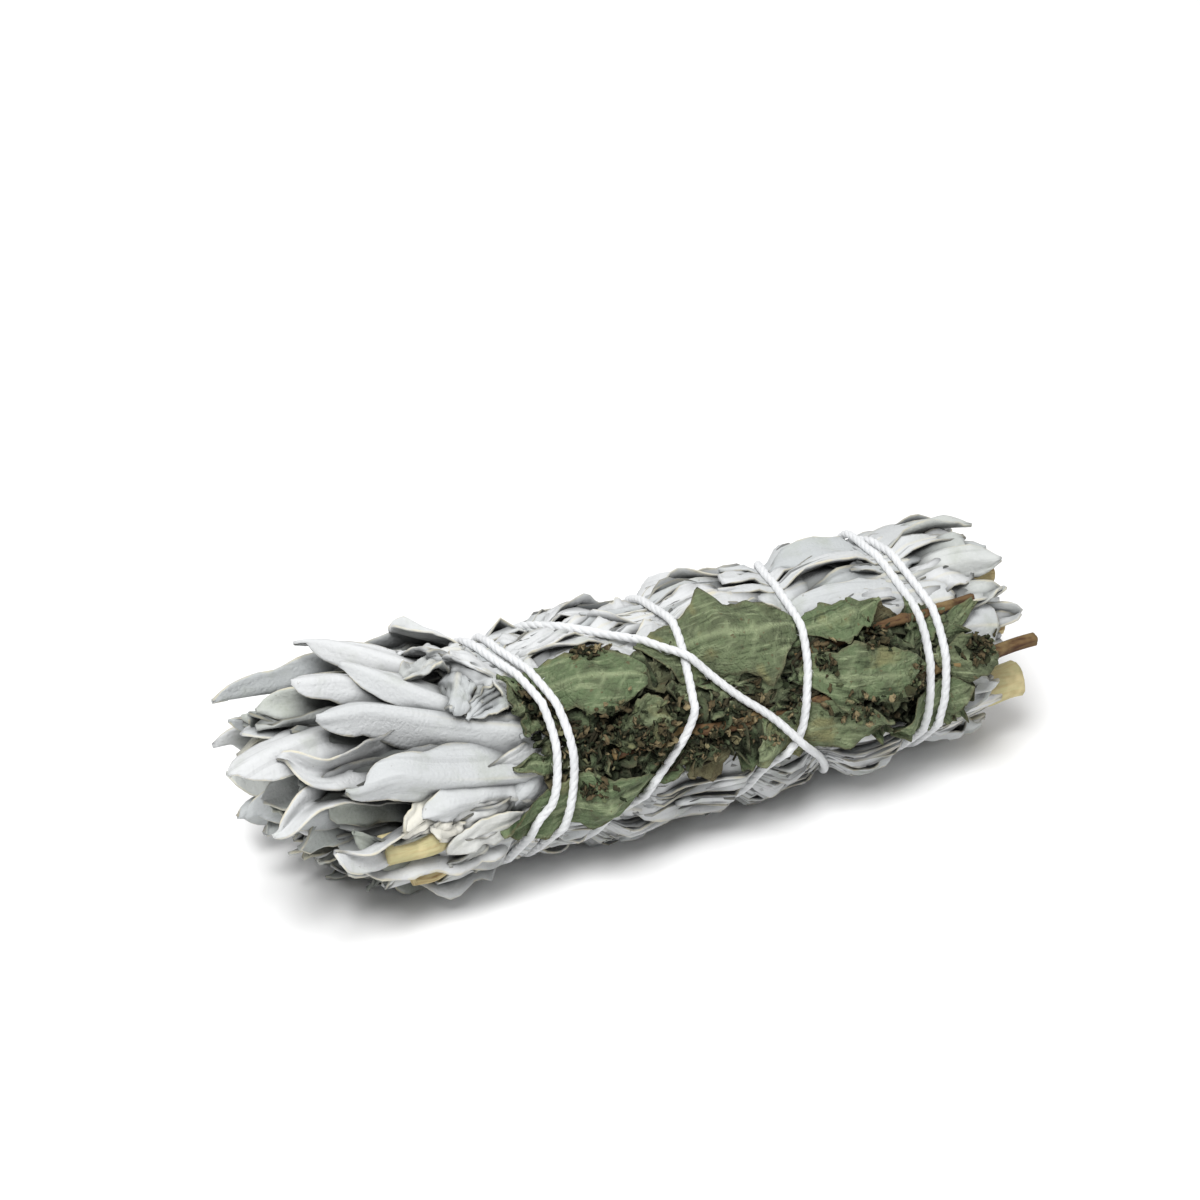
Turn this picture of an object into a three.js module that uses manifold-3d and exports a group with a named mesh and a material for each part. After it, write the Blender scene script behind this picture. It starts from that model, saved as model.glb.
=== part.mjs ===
// A smudge stick: dried white sage pressed into a bundle, with a sprig of dried mint laid on its front,
// wound with one cotton string. It lies on its side on a flat surface.
// Millimetres, +Z up. The bundle's axis runs along X: leaf tips at -X, cut stem ends at +X.
import * as THREE from "three";
import { mergeVertices } from "three/addons/utils/BufferGeometryUtils.js";
import Module from "manifold-3d";

const wasm = await Module();
wasm.setup();

// Driving dimensions
const CORE_RADIUS = 12.4; // the packed leaves and stems inside the bundle
const CORE_FROM = -34; // where the core starts, among the leaf tips
const CORE_TO = 48.5; // where it ends, behind the cut stem ends
const CORE_NOSE = 16; // the length over which it narrows among the leaf tips
const CORE_SIDES = 20;
const AXIS_HEIGHT = 15.5; // the bundle's axis above the surface that it lies on
const SAGE_THICKNESS = 0.9;
const MINT_THICKNESS = 0.75;
const STRING_DIAMETER = 1.3;
const GAP = 0.35; // between pieces that lie on each other
const GROOVE_GAP = 0.25; // round the string where it is pressed into the leaves
const TIE_PITCH = 18.6; // the distance between the string's turns
const TIE_MIDDLE = 9.3; // half way between the second turn and the third
const TIE_PINCH = 0.7; // how far the string draws the leaves in
const SEED = 7;

const SAGE_GREY = 0xc9ccc6;
const STEM_TAN = 0xb9a878;
const MINT_GREEN = 0x5d6b43;
const MINT_BROWN = 0x5a4026;
const STRING_WHITE = 0xf0f0ee;

// Each row of sage leaves: how many there are, the arc about the bundle that they fill, where they root
// and end along it, how far from the axis they root, lie and end, their width, how far they fold along
// the rib and turn about it (degrees), and how wide their root and tip are as shares of their width.
const SAGE_ROWS = [
  {
    count: 8, arc: [0, 360], span: [52.5, 12], radii: [12.7, 13.8, 14.6],
    width: 13.2, fold: 3, roll: 3, ends: [0.7, 0.2],
  },
  {
    count: 8, arc: [70, 430], span: [24, -16], radii: [11.2, 13.9, 14.8],
    width: 13.6, fold: 3, roll: 3, ends: [0.4, 0.15],
  },
  {
    count: 6, arc: [95, 345], span: [-2, -40], radii: [11.2, 14.0, 15.4],
    width: 13.2, fold: 5, roll: 6, ends: [0.4, 0.15],
  },
  {
    count: 7, arc: [100, 335], span: [-22, -56], radii: [10.6, 14.0, 15.8],
    width: 11.6, fold: 26, roll: 18, ends: [0.4, 0.2],
  },
  {
    count: 6, arc: [0, 360], span: [-26, -57], radii: [6.5, 9.4, 12.4],
    width: 10.4, fold: 30, roll: 22, ends: [0.4, 0.2],
  },
  {
    count: 3, arc: [0, 360], span: [-30, -57], radii: [3.0, 4.2, 5.6],
    width: 9.2, fold: 30, roll: 30, ends: [0.4, 0.25],
  },
  {
    count: 5, arc: [20, 380], span: [40, 52], radii: [10.6, 10.8, 11.0],
    width: 6.0, fold: 28, roll: 40, ends: [0.6, 0.5],
  },
];

// The long leaves that fan out at the front of the leaf end: root and tip as [along the bundle, angle
// about it, distance from its axis], width, and how far each folds along its rib (a ridge where negative)
// and turns about it (degrees).
const FAN_LEAVES = [
  { root: [-15, 38, 13.4], tip: [-45, -33, 19.5], width: 9, fold: -34, roll: 14 },
  { root: [-14, 47, 13.7], tip: [-50.5, -2, 19.5], width: 9.5, fold: -30, roll: 12 },
  { root: [-13, 54, 14.2], tip: [-43.5, 4, 20.0], width: 8, fold: -32, roll: 8 },
  { root: [-13, 60, 14.3], tip: [-49.5, 17, 19.5], width: 10, fold: -34, roll: 10 },
  { root: [-13, 77, 14.3], tip: [-48.5, 44, 19.5], width: 10, fold: -34, roll: 6 },
  { root: [-28, 12, 11.5], tip: [-61, 36, 17.5], width: 11, fold: -16, roll: -14 },
  { root: [-32, 36, 11.5], tip: [-56, 41, 16.5], width: 8.5, fold: 30, roll: 20 },
  { root: [-33, 60, 10.5], tip: [-58.5, 58, 16.0], width: 8.5, fold: 34, roll: -20 },
  { root: [-31, 80, 12.0], tip: [-51.5, 84, 16.5], width: 8, fold: 30, roll: 16 },
  { root: [-20, 90, 14.2], tip: [-39, 71, 18.0], width: 7.5, fold: -20, roll: 4 },
  { root: [-14, 104, 14.0], tip: [-38, 99, 15.6], width: 8, fold: 12, roll: -6 },
  { root: [-16, 4, 13.8], tip: [-32, -30, 17.5], width: 7.5, fold: 34, roll: 12 },
  { root: [-17, 24, 14.0], tip: [-30, 2, 18.0], width: 8, fold: 26, roll: -18 },
];
const FAN_ENDS = [0.5, 0.25]; // how wide their root and tip are as shares of their width
const FAN_SWAY = 4; // how far they bow aside (degrees)
const LEAF_TOLERANCE = 0.05;
const LEAF_WIDEST = 0.42; // where a leaf is widest, as a share of its length
const SAGE_STEPS_ALONG = 5;
const SAGE_STEPS_ACROSS = 2;
const LEAF_END = -57; // where the longest leaf tips of a row end
const END_SLANT = 1.1; // how much sooner the tips end for each millimetre that they lie to the low front
const LOW_FRONT = 150; // degrees about the bundle
const TUCK = 2.8; // how far the tips of a row of the leaf end lie in where they face the front edge below
const TUCK_SIDE = 128; // degrees about the bundle
const TUCK_BEYOND = -30; // rows whose tips end before this place are of the leaf end
const LENGTH_VARIES = 5;
const ANGLE_VARIES = 11; // degrees, as are the next two
const DRIFT = 16; // how far a tip stands aside of its root
const SWAY = 6; // how far a leaf bows between them
const RADIUS_VARIES = 0.25;
const OVERLAP_LIFT = 1.0; // every other leaf of a row lies over its neighbours
const RIDGED_SHARE = 0.3; // the share of leaves that fold to a ridge, not to a trough
const FLOOR_CUT = 0.36; // the lowest leaves' middles lie this far above the surface that they lie on

// Cut stems: [radius, distance from the axis, angle about it, inner end, outer end].
const SAGE_STEMS = [
  [2.7, 10.4, 122, 14, 54.0],
  [2.1, 8.6, 62, 18, 51.5],
  [1.9, 9.0, 15, 20, 52.5],
  [2.2, 8.8, -38, 16, 50.5],
  [1.8, 9.2, 200, 18, 52.0],
  [2.3, 8.4, 250, 14, 53.5],
  [2.0, 3.6, 330, 12, 52.0],
  [2.4, 3.4, 150, 12, 53.0],
  [2.2, 13.0, 92, -24, -44.0],
  [2.0, 13.4, 116, -22, -39.5],
];
const STEM_SIDES = 10;

// Mint leaves in the order in which they were laid: base and tip as [along the bundle, angle about it]
// and half width.
const MINT_LEAVES = [
  { base: [-5.5, 42], tip: [-24.5, 22], halfWidth: 4.6 },
  { base: [-7.5, 86], tip: [-28.5, 92], halfWidth: 4.2 },
  { base: [18.5, 34], tip: [-5.0, 24], halfWidth: 6.4 },
  { base: [8.0, 84], tip: [28.5, 84], halfWidth: 4.6 },
  { base: [16.5, 60], tip: [36.5, 68], halfWidth: 3.8 },
  { base: [29.5, 100], tip: [41.5, 84], halfWidth: 3.8 },
  { base: [19.0, 40], tip: [30.0, 34], halfWidth: 2.8 },
  { base: [46.5, 73], tip: [36.5, 63], halfWidth: 2.9 },
  { base: [-2.0, 62], tip: [-13.5, 60], halfWidth: 2.6 },
];
const MINT_STEPS_ALONG = 10;
const MINT_STEPS_ACROSS = 4;
const MINT_TOOTH = 0.1; // how far a tooth stands out, as a share of the half width
const MINT_REACH = 1.4; // how far about each of its points a leaf feels what it lies on
const MINT_SLACK = 0.12; // how far it sags between them

// Mint stems: radius, and their route as [along the bundle, angle about it].
const MINT_STEMS = [
  { radius: 1.0, route: [[-12, 70], [-3, 69], [8, 72], [20, 72], [30, 73], [38, 73], [46, 74], [54, 75]] },
  { radius: 0.8, route: [[17, 49], [24, 47], [31, 45], [38, 44], [45, 43]] },
];

// Mint flower heads: slim spikes set with dry cups.
const MINT_HEADS = [
  { route: [[-22, 30], [-19, 40], [-17.5, 52], [-18, 64]], cups: 9 },
  { route: [[-14.5, 47], [-10, 49], [-5, 53], [0, 58]], cups: 9 },
];
const HEAD_RADIUS = 0.8;
const CUP_RADIUS = 0.75;

// The string's route as [angle about the bundle, along it]: twice round the butt end, down the bundle in
// two open turns, twice round the leaf end, and back in one long diagonal to the knot behind.
const STRING_ROUTE = [
  [-90, 35.4], [-60, 36.6], [-30, 37.4], [0, 37.7], [50, 38.6], [85, 38.0], [110, 37.4], [180, 37.6],
  [270, 37.6], [330, 36.3], [360, 35.7], [410, 36.2], [467, 35.2], [540, 34.4], [600, 30.5], [660, 24.5],
  [700, 20.6], [722, 19.7], [760, 18.9], [790, 16.9], [808, 15.3], [833, 10.5], [900, 7.0], [990, 4.4],
  [1060, 2.4], [1093, 2.5], [1131, 0.6], [1150, -1.4], [1179, -8.0], [1198, -12.0], [1260, -15.5],
  [1350, -18.5], [1418, -20.6], [1447, -20.0], [1484, -18.0], [1510, -17.5], [1536, -18.6], [1563, -20.3],
  [1620, -22.0], [1710, -23.4], [1779, -22.9], [1807, -22.0], [1841, -19.9], [1860, -19.4], [1884, -20.6],
  [1906, -24.0], [1980, -25.0], [2060, -20.0], [2120, -14.2], [2147, -11.0], [2180, -3.2], [2198, 2.0],
  [2219, 7.4], [2239, 13.1], [2277, 21.0], [2340, 26.8], [2400, 32.4], [2430, 34.6],
];
const STRING_SIDES = 6;
const STRING_SAMPLE = 1.2; // how closely the string feels what it lies on
const SAMPLES_A_STEP = 4; // how many of these one straight step of its solid takes
const KNOT_RADIUS = 1.7;
const KNOT_PLACE = [35, 270]; // along the bundle and about it
const TAIL_ENDS = [[42.5, 281], [28.5, 262]]; // where the string's two cut ends lie

// A random number from 0 to 1 that is the same on every run.
function seededRandom(seed) {
  let state = seed >>> 0;
  return () => {
    state = (state + 0x6d2b79f5) >>> 0;
    let t = Math.imul(state ^ (state >>> 15), state | 1);
    t ^= t + Math.imul(t ^ (t >>> 7), t | 61);
    return ((t ^ (t >>> 14)) >>> 0) / 4294967296;
  };
}

const radians = THREE.MathUtils.degToRad;
const degrees = THREE.MathUtils.radToDeg;
const mix = THREE.MathUtils.lerp;

// The direction away from the bundle's axis at an angle: 0 is up, 90 is the front, 180 is down.
function outward(angle) {
  return new THREE.Vector3(0, -Math.sin(radians(angle)), Math.cos(radians(angle)));
}

// The point at a place along the bundle, an angle about it and a distance from its axis.
function onBundle(x, angle, radius) {
  return outward(angle).multiplyScalar(radius).setX(x);
}

// How far the string draws the leaves in at a place along the bundle.
function pinch(x) {
  const turns = (x - TIE_MIDDLE) / TIE_PITCH - 0.5;
  return Math.abs(turns) < 2.3 ? TIE_PINCH * Math.cos(2 * Math.PI * turns) : 0;
}

// A solid from a closed geometry.
function solidOf(geometry) {
  const bare = geometry.clone();
  bare.deleteAttribute("normal");
  bare.deleteAttribute("uv");
  const merged = mergeVertices(bare, 1e-4);
  return new wasm.Manifold(
    new wasm.Mesh({
      numProp: 3,
      vertProperties: new Float32Array(merged.attributes.position.array),
      triVerts: new Uint32Array(merged.index.array),
    }),
  );
}

// The geometry of a solid.
function geometryOf(solid) {
  const mesh = solid.getMesh();
  const geometry = new THREE.BufferGeometry();
  geometry.setAttribute("position", new THREE.BufferAttribute(mesh.vertProperties, 3));
  geometry.setIndex(new THREE.BufferAttribute(mesh.triVerts, 1));
  geometry.computeVertexNormals();
  return geometry;
}

// The largest body of a solid, with hollows that fusing sealed filled and loose scraps dropped.
function largestBody(solid) {
  return solid.decompose().reduce((best, body) => (body.volume() > best.volume() ? body : best));
}

// A closed blade of even thickness on the surface that pointAt gives, with along from 0 at the root to
// 1 at the tip and across from -1 to 1. Both faces are split into triangles alike.
function bladeGeometry(pointAt, stepsAlong, stepsAcross, thickness) {
  const columns = stepsAcross + 1;
  const middle = (i, j) => pointAt(i / stepsAlong, (2 * j) / stepsAcross - 1);
  const faces = [[], []];
  for (let i = 0; i <= stepsAlong; i++) {
    for (let j = 0; j <= stepsAcross; j++) {
      const lengthwise = middle(Math.min(i + 1, stepsAlong), j).sub(middle(Math.max(i - 1, 0), j));
      const sideways = middle(i, Math.min(j + 1, stepsAcross)).sub(middle(i, Math.max(j - 1, 0)));
      const normal = lengthwise.cross(sideways).normalize().multiplyScalar(thickness / 2);
      faces[0].push(middle(i, j).add(normal));
      faces[1].push(middle(i, j).sub(normal));
    }
  }
  const rear = faces[0].length;
  const at = (i, j) => i * columns + j;
  const index = [];
  const quad = (a, b, c, d) => index.push(a, b, c, a, c, d);
  for (let i = 0; i < stepsAlong; i++) {
    for (let j = 0; j < stepsAcross; j++) {
      const [a, b, c, d] = [at(i, j), at(i + 1, j), at(i + 1, j + 1), at(i, j + 1)];
      quad(a, b, c, d);
      index.push(rear + a, rear + c, rear + b, rear + a, rear + d, rear + c);
    }
  }
  for (let i = 0; i < stepsAlong; i++) {
    quad(at(i + 1, 0), at(i, 0), rear + at(i, 0), rear + at(i + 1, 0));
    const [near, far] = [at(i, stepsAcross), at(i + 1, stepsAcross)];
    quad(near, far, rear + far, rear + near);
  }
  for (let j = 0; j < stepsAcross; j++) {
    quad(at(0, j), at(0, j + 1), rear + at(0, j + 1), rear + at(0, j));
    quad(at(stepsAlong, j + 1), at(stepsAlong, j), rear + at(stepsAlong, j), rear + at(stepsAlong, j + 1));
  }
  const geometry = new THREE.BufferGeometry().setFromPoints(faces.flat());
  geometry.setIndex(index);
  return geometry;
}

// A round rod along a smooth curve through points.
function rodGeometry(points, radius, sides, steps) {
  const section = new THREE.Shape();
  for (let i = 0; i < sides; i++) {
    const turn = (2 * Math.PI * i) / sides;
    const corner = [radius * Math.cos(turn), radius * Math.sin(turn)];
    if (i === 0) section.moveTo(...corner);
    else section.lineTo(...corner);
  }
  section.closePath();
  const extrudePath = new THREE.CatmullRomCurve3(points, false, "centripetal");
  return new THREE.ExtrudeGeometry(section, { steps, extrudePath, curveSegments: 1, bevelEnabled: false });
}

// How far what is on the bundle stands out from the axis, on a grid along the bundle and round it.
class Relief {
  static ALONG = 0.7;
  static ROUND = 2.5;

  constructor() {
    this.heights = new Map();
  }

  static key(row, column) {
    const columns = 360 / Relief.ROUND;
    return row * columns + ((column % columns) + columns) % columns;
  }

  add(geometry) {
    const flat = geometry.index ? geometry.toNonIndexed() : geometry;
    const position = flat.getAttribute("position");
    const corners = [new THREE.Vector3(), new THREE.Vector3(), new THREE.Vector3()];
    for (let i = 0; i < position.count; i += 3) {
      corners.forEach((corner, k) => corner.fromBufferAttribute(position, i + k));
      const [a, b, c] = corners;
      const longest = Math.max(a.distanceTo(b), b.distanceTo(c), c.distanceTo(a));
      const steps = Math.ceil(longest / (0.6 * Relief.ALONG));
      for (let p = 0; p <= steps; p++) {
        for (let q = 0; q <= steps - p; q++) this.addPoint(a, b, c, p / steps, q / steps);
      }
    }
    return this;
  }

  addPoint(a, b, c, p, q) {
    const x = a.x + (b.x - a.x) * p + (c.x - a.x) * q;
    const y = a.y + (b.y - a.y) * p + (c.y - a.y) * q;
    const z = a.z + (b.z - a.z) * p + (c.z - a.z) * q;
    const angle = degrees(Math.atan2(-y, z));
    const key = Relief.key(Math.round(x / Relief.ALONG), Math.round(angle / Relief.ROUND));
    this.heights.set(key, Math.max(this.heights.get(key) ?? 0, Math.hypot(y, z)));
  }

  // The furthest that anything stands out within a reach in millimetres of a place.
  highest(x, angle, reach) {
    const rows = Math.ceil(reach / Relief.ALONG);
    const columns = Math.ceil(degrees(reach / AXIS_HEIGHT) / Relief.ROUND);
    let best = 0;
    for (let i = -rows; i <= rows; i++) {
      for (let j = -columns; j <= columns; j++) {
        const key = Relief.key(Math.round(x / Relief.ALONG) + i, Math.round(angle / Relief.ROUND) + j);
        best = Math.max(best, this.heights.get(key) ?? 0);
      }
    }
    return best;
  }
}

// The outline of a leaf as a share of its half width: from its root over its widest place to its tip.
function leafOutline(along, root, tip) {
  if (along < LEAF_WIDEST) return mix(root, 1, Math.sin((Math.PI / 2) * (along / LEAF_WIDEST)));
  return mix(tip, 1, Math.pow(Math.cos((Math.PI / 2) * ((along - LEAF_WIDEST) / (1 - LEAF_WIDEST))), 0.8));
}

// The leaves of one row, each from the next few random numbers.
function rowLeaves({ count, arc, span, radii, width, fold, roll, ends }, random) {
  const vary = (size) => (2 * random() - 1) * size;
  return Array.from({ length: count }, (_, index) => {
    const rootX = span[0] + vary(LENGTH_VARIES * 0.6);
    const tipX = span[1] + vary(LENGTH_VARIES);
    const angle = mix(...arc, index / count) + vary(ANGLE_VARIES);
    const drift = vary(DRIFT);
    const lift = vary(RADIUS_VARIES) + (index % 2) * OVERLAP_LIFT;
    const facing = Math.max(0, Math.cos(radians(angle + drift - TUCK_SIDE)));
    const tuck = span[1] < TUCK_BEYOND ? TUCK * facing ** 3 : 0;
    const tipRadius = radii[2] + lift - tuck;
    const low = Math.max(0, tipRadius * Math.cos(radians(angle + drift - LOW_FRONT)));
    return {
      root: [rootX, angle, radii[0]],
      tip: [Math.max(tipX, LEAF_END + END_SLANT * low), angle + drift, tipRadius],
      level: radii[1] + lift - tuck / 2,
      sway: vary(SWAY),
      width: width * (1 + vary(0.15)),
      fold: fold * (1 + vary(0.6)) * (random() < RIDGED_SHARE ? -1 : 1),
      roll: vary(roll),
      ends,
    };
  });
}

// The leaves of the fan, given the same way.
function fanLeaves() {
  return FAN_LEAVES.map((leaf, index) => ({
    ...leaf,
    level: leaf.root[2] + 0.5,
    sway: index % 2 === 0 ? FAN_SWAY : -FAN_SWAY,
    ends: FAN_ENDS,
  }));
}

// The surface of one sage leaf: it rises from its root, lies along the bundle and flares to its tip.
function sageLeafSurface({ root, tip, level, sway, width, fold, roll, ends }) {
  const spine = (along) => {
    const x = mix(root[0], tip[0], along);
    const rise = THREE.MathUtils.smoothstep(along, 0, 0.3);
    const flare = THREE.MathUtils.smoothstep(along, 0.3, 1);
    const radius = mix(root[2], level, rise) + (tip[2] - level) * flare - pinch(x) * rise;
    return onBundle(x, mix(root[1], tip[1], along) + sway * Math.sin(Math.PI * along), radius);
  };
  return (along, across) => {
    const here = spine(along);
    const [before, after] = [Math.max(along - 0.02, 0), Math.min(along + 0.02, 1)];
    const heading = spine(after).sub(spine(before)).normalize();
    const away = here.clone().setX(0).normalize();
    const sideways = new THREE.Vector3().crossVectors(heading, away).normalize();
    const up = new THREE.Vector3().crossVectors(sideways, heading);
    const turn = radians(roll) * THREE.MathUtils.smoothstep(along, 0.1, 0.8);
    const bend = radians(fold) * THREE.MathUtils.smoothstep(along, 0, 0.35);
    const side = sideways.clone().multiplyScalar(Math.cos(turn)).addScaledVector(up, Math.sin(turn));
    const face = up.clone().multiplyScalar(Math.cos(turn)).addScaledVector(sideways, -Math.sin(turn));
    const reach = (width / 2) * leafOutline(along, ...ends) * across;
    const wrap = reach ** 2 / (2 * Math.hypot(here.y, here.z) + 6);
    const point = here
      .addScaledVector(side, reach * Math.cos(bend))
      .addScaledVector(face, Math.abs(reach) * Math.sin(bend) - wrap);
    return point.setZ(Math.max(point.z, -AXIS_HEIGHT + FLOOR_CUT));
  };
}

function sageLeaves() {
  const random = seededRandom(SEED);
  return [...SAGE_ROWS.flatMap((row) => rowLeaves(row, random)), ...fanLeaves()].map((leaf) =>
    bladeGeometry(sageLeafSurface(leaf), SAGE_STEPS_ALONG, SAGE_STEPS_ACROSS, SAGE_THICKNESS),
  );
}

// The packed inside of the bundle, rounded off among the leaf tips and flat behind the cut ends.
function coreGeometry() {
  const profile = [
    [0, CORE_FROM],
    [0.45 * CORE_RADIUS, CORE_FROM + 0.12 * CORE_NOSE],
    [0.77 * CORE_RADIUS, CORE_FROM + 0.44 * CORE_NOSE],
    [CORE_RADIUS, CORE_FROM + CORE_NOSE],
    [CORE_RADIUS, CORE_TO - 4],
    [CORE_RADIUS - 1.2, CORE_TO],
    [0, CORE_TO],
  ];
  const lathe = new THREE.LatheGeometry(profile.map(([r, x]) => new THREE.Vector2(r, x)), CORE_SIDES);
  return lathe.rotateZ(-Math.PI / 2);
}

function stemPoints([, distance, angle, from, to], beyond = 0) {
  const end = to + Math.sign(to - from) * beyond;
  const middle = (from + end) / 2;
  return [from, middle, end].map((x) => onBundle(x, angle, distance));
}

function stemGeometry(stem, extra = 0) {
  return rodGeometry(stemPoints(stem, extra * 20), stem[0] + extra, STEM_SIDES, 2);
}

const surfaceSlab = new THREE.BoxGeometry(400, 400, 40).translate(0, 0, -AXIS_HEIGHT - 20);
const materials = Object.fromEntries(
  Object.entries({ SAGE_GREY, STEM_TAN, MINT_GREEN, MINT_BROWN, STRING_WHITE }).map(([name, color]) => [
    name,
    new THREE.MeshStandardMaterial({ color, roughness: 0.9, metalness: 0 }),
  ]),
);
const bundle = new THREE.Group();
const placed = [];
const relief = new Relief();

// Adds a piece to the bundle, and to what later pieces lie on.
function place(name, solid, material) {
  const mesh = new THREE.Mesh(geometryOf(solid), material);
  mesh.name = name;
  bundle.add(mesh);
  placed.push(solid);
  relief.add(mesh.geometry);
}

// Heights that stay above the least ones given and don't dip between them, as a taut sheet does.
function stretched(least) {
  const heights = least.map((row) => [...row]);
  for (let pass = 0; pass < 40; pass++) {
    heights.forEach((row, i) =>
      row.forEach((_, j) => {
        const around = [heights[i - 1]?.[j], heights[i + 1]?.[j], row[j - 1], row[j + 1]];
        const near = around.filter(Number.isFinite);
        const level = near.reduce((sum, height) => sum + height, 0) / near.length;
        row[j] = Math.max(least[i][j], level - MINT_SLACK);
      }),
    );
  }
  return heights;
}

// The surface of one mint leaf at a lift above what it lies on.
function mintLeafSurface({ base, tip, halfWidth }, lift) {
  const arc = radians(1) * AXIS_HEIGHT;
  const run = new THREE.Vector2(tip[0] - base[0], (tip[1] - base[1]) * arc);
  const sideways = new THREE.Vector2(-run.y, run.x).normalize();
  const placeAt = (i, j) => {
    const along = i / MINT_STEPS_ALONG;
    const across = (2 * j) / MINT_STEPS_ACROSS - 1;
    const tooth = 1 + MINT_TOOTH * (i % 2 === 0 ? -1 : 1) * Math.abs(across);
    const reach = halfWidth * leafOutline(along, 0.25, 0.12) * across * tooth;
    const x = base[0] + run.x * along + sideways.x * reach;
    return [x, base[1] + (run.y * along + sideways.y * reach) / arc];
  };
  const grid = Array.from({ length: MINT_STEPS_ALONG + 1 }, (_, i) =>
    Array.from({ length: MINT_STEPS_ACROSS + 1 }, (__, j) => relief.highest(...placeAt(i, j), MINT_REACH)),
  );
  const heights = stretched(grid);
  return (along, across) => {
    const i = Math.round(along * MINT_STEPS_ALONG);
    const j = Math.round(((across + 1) / 2) * MINT_STEPS_ACROSS);
    return onBundle(...placeAt(i, j), heights[i][j] + GAP + MINT_THICKNESS / 2 + lift);
  };
}

// Makes a piece again, a little higher each time, until it is clear of everything placed so far.
function clearOfAll(make) {
  for (let lift = 0; lift < 4; lift += 0.1) {
    const solid = make(lift);
    if (placed.every((other) => solid.intersect(other).volume() < 1e-4)) return solid;
  }
  throw new Error("a piece can't be laid clear of the others");
}

// Points of a route that lies on the bundle, a lift above what is there.
function layRoute(route, radius, lift) {
  const line = new THREE.SplineCurve(route.map(([x, angle]) => new THREE.Vector2(x, angle)));
  return line.getPoints(route.length * 2).map(({ x, y: angle }) => {
    const height = Math.max(relief.highest(x, angle, 2 * radius + 1), CORE_RADIUS);
    return onBundle(x, angle, height + GAP + radius + lift);
  });
}

function mintHead({ route, cups }, lift) {
  const points = layRoute(route, HEAD_RADIUS, lift + CUP_RADIUS * 0.6);
  const line = new THREE.CatmullRomCurve3(points);
  const spike = solidOf(rodGeometry(points, HEAD_RADIUS, 6, 6));
  const dryCups = Array.from({ length: cups }, (_, i) => {
    const along = (i + 0.5) / cups;
    const centre = line.getPointAt(along);
    const away = outward(degrees(Math.atan2(-centre.y, centre.z)));
    const side = line.getTangentAt(along).cross(away).multiplyScalar([-1, 0, 1][i % 3] * HEAD_RADIUS);
    const rise = (i % 3 === 1 ? 0.9 : 0.2) * HEAD_RADIUS;
    const cup = new THREE.OctahedronGeometry(CUP_RADIUS);
    return solidOf(cup.translate(...centre.add(side).addScaledVector(away, rise).toArray()));
  });
  return wasm.Manifold.union([spike, ...dryCups]);
}

// The string's places along the bundle and about it, evenly spaced.
function stringPlaces() {
  const unrolled = STRING_ROUTE.map(([angle, x]) => new THREE.Vector2(x, radians(angle) * AXIS_HEIGHT));
  const line = new THREE.SplineCurve(unrolled);
  line.arcLengthDivisions = 4000;
  const count = Math.round(line.getLength() / STRING_SAMPLE);
  return line.getSpacedPoints(count).map(({ x, y }) => ({ x, angle: degrees(y / AXIS_HEIGHT) }));
}

// How far from the axis a taut string lies at each of its places: on the leaves, and over its own
// earlier turns where it crosses them.
function stringRadii(places) {
  const half = STRING_DIAMETER / 2;
  const onLeaves = places.map(({ x, angle }) => relief.highest(x, angle, STRING_DIAMETER) + GAP + half);
  const slack = STRING_SAMPLE ** 2 / (2 * AXIS_HEIGHT);
  const neighbours = Math.ceil((4 * STRING_DIAMETER) / STRING_SAMPLE);
  const tauten = (least) => {
    const radii = [...least];
    for (let pass = 0; pass < 300; pass++) {
      for (let i = 1; i < radii.length - 1; i++) {
        radii[i] = Math.max(least[i], (radii[i - 1] + radii[i + 1]) / 2 - slack);
      }
    }
    return radii;
  };
  let radii = tauten(onLeaves);
  for (let pass = 0; pass < 3; pass++) {
    const least = places.map((place, i) => {
      let height = onLeaves[i];
      for (let j = 0; j < i - neighbours; j++) {
        const turn = ((((place.angle - places[j].angle) % 360) + 540) % 360) - 180;
        const apart = Math.hypot(place.x - places[j].x, radians(turn) * AXIS_HEIGHT);
        if (apart < 1.3 * STRING_DIAMETER) height = Math.max(height, radii[j] + STRING_DIAMETER + 0.2);
      }
      return height;
    });
    radii = tauten(least);
  }
  return radii;
}

// The string's middle line, pressed into the leaves where it would reach below the surface.
function stringLine() {
  const places = stringPlaces();
  const radii = stringRadii(places);
  const lowest = -AXIS_HEIGHT + STRING_DIAMETER / 2 + GAP;
  return places.map(({ x, angle }, i) => {
    const point = onBundle(x, angle, radii[i]);
    return point.setZ(Math.max(point.z, lowest));
  });
}

function stringSolid(line, extra) {
  const points = line.filter((_, i) => i % SAMPLES_A_STEP === 0 || i === line.length - 1);
  return solidOf(rodGeometry(points, STRING_DIAMETER / 2 + extra, STRING_SIDES, points.length - 1));
}

// The knot that joins the string's two ends, with the cut tails that stand out of it.
function knotSolid(line) {
  const height = Math.max(...[line[0], line.at(-1)].map((p) => Math.hypot(p.y, p.z)));
  const middle = onBundle(...KNOT_PLACE, height + 0.5);
  const lump = new THREE.IcosahedronGeometry(KNOT_RADIUS, 1).translate(...middle.toArray());
  const tails = TAIL_ENDS.map(([x, angle]) => {
    const via = [(x + 2 * KNOT_PLACE[0]) / 3, (angle + 2 * KNOT_PLACE[1]) / 3];
    const rest = relief.highest(x, angle, 2) + GAP + STRING_DIAMETER;
    const points = [middle, onBundle(...via, height + 1.6), onBundle(x, angle, Math.max(rest, height))];
    return solidOf(rodGeometry(points, STRING_DIAMETER / 2, STRING_SIDES, 5));
  });
  return wasm.Manifold.union([solidOf(lump), ...tails]);
}

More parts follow.
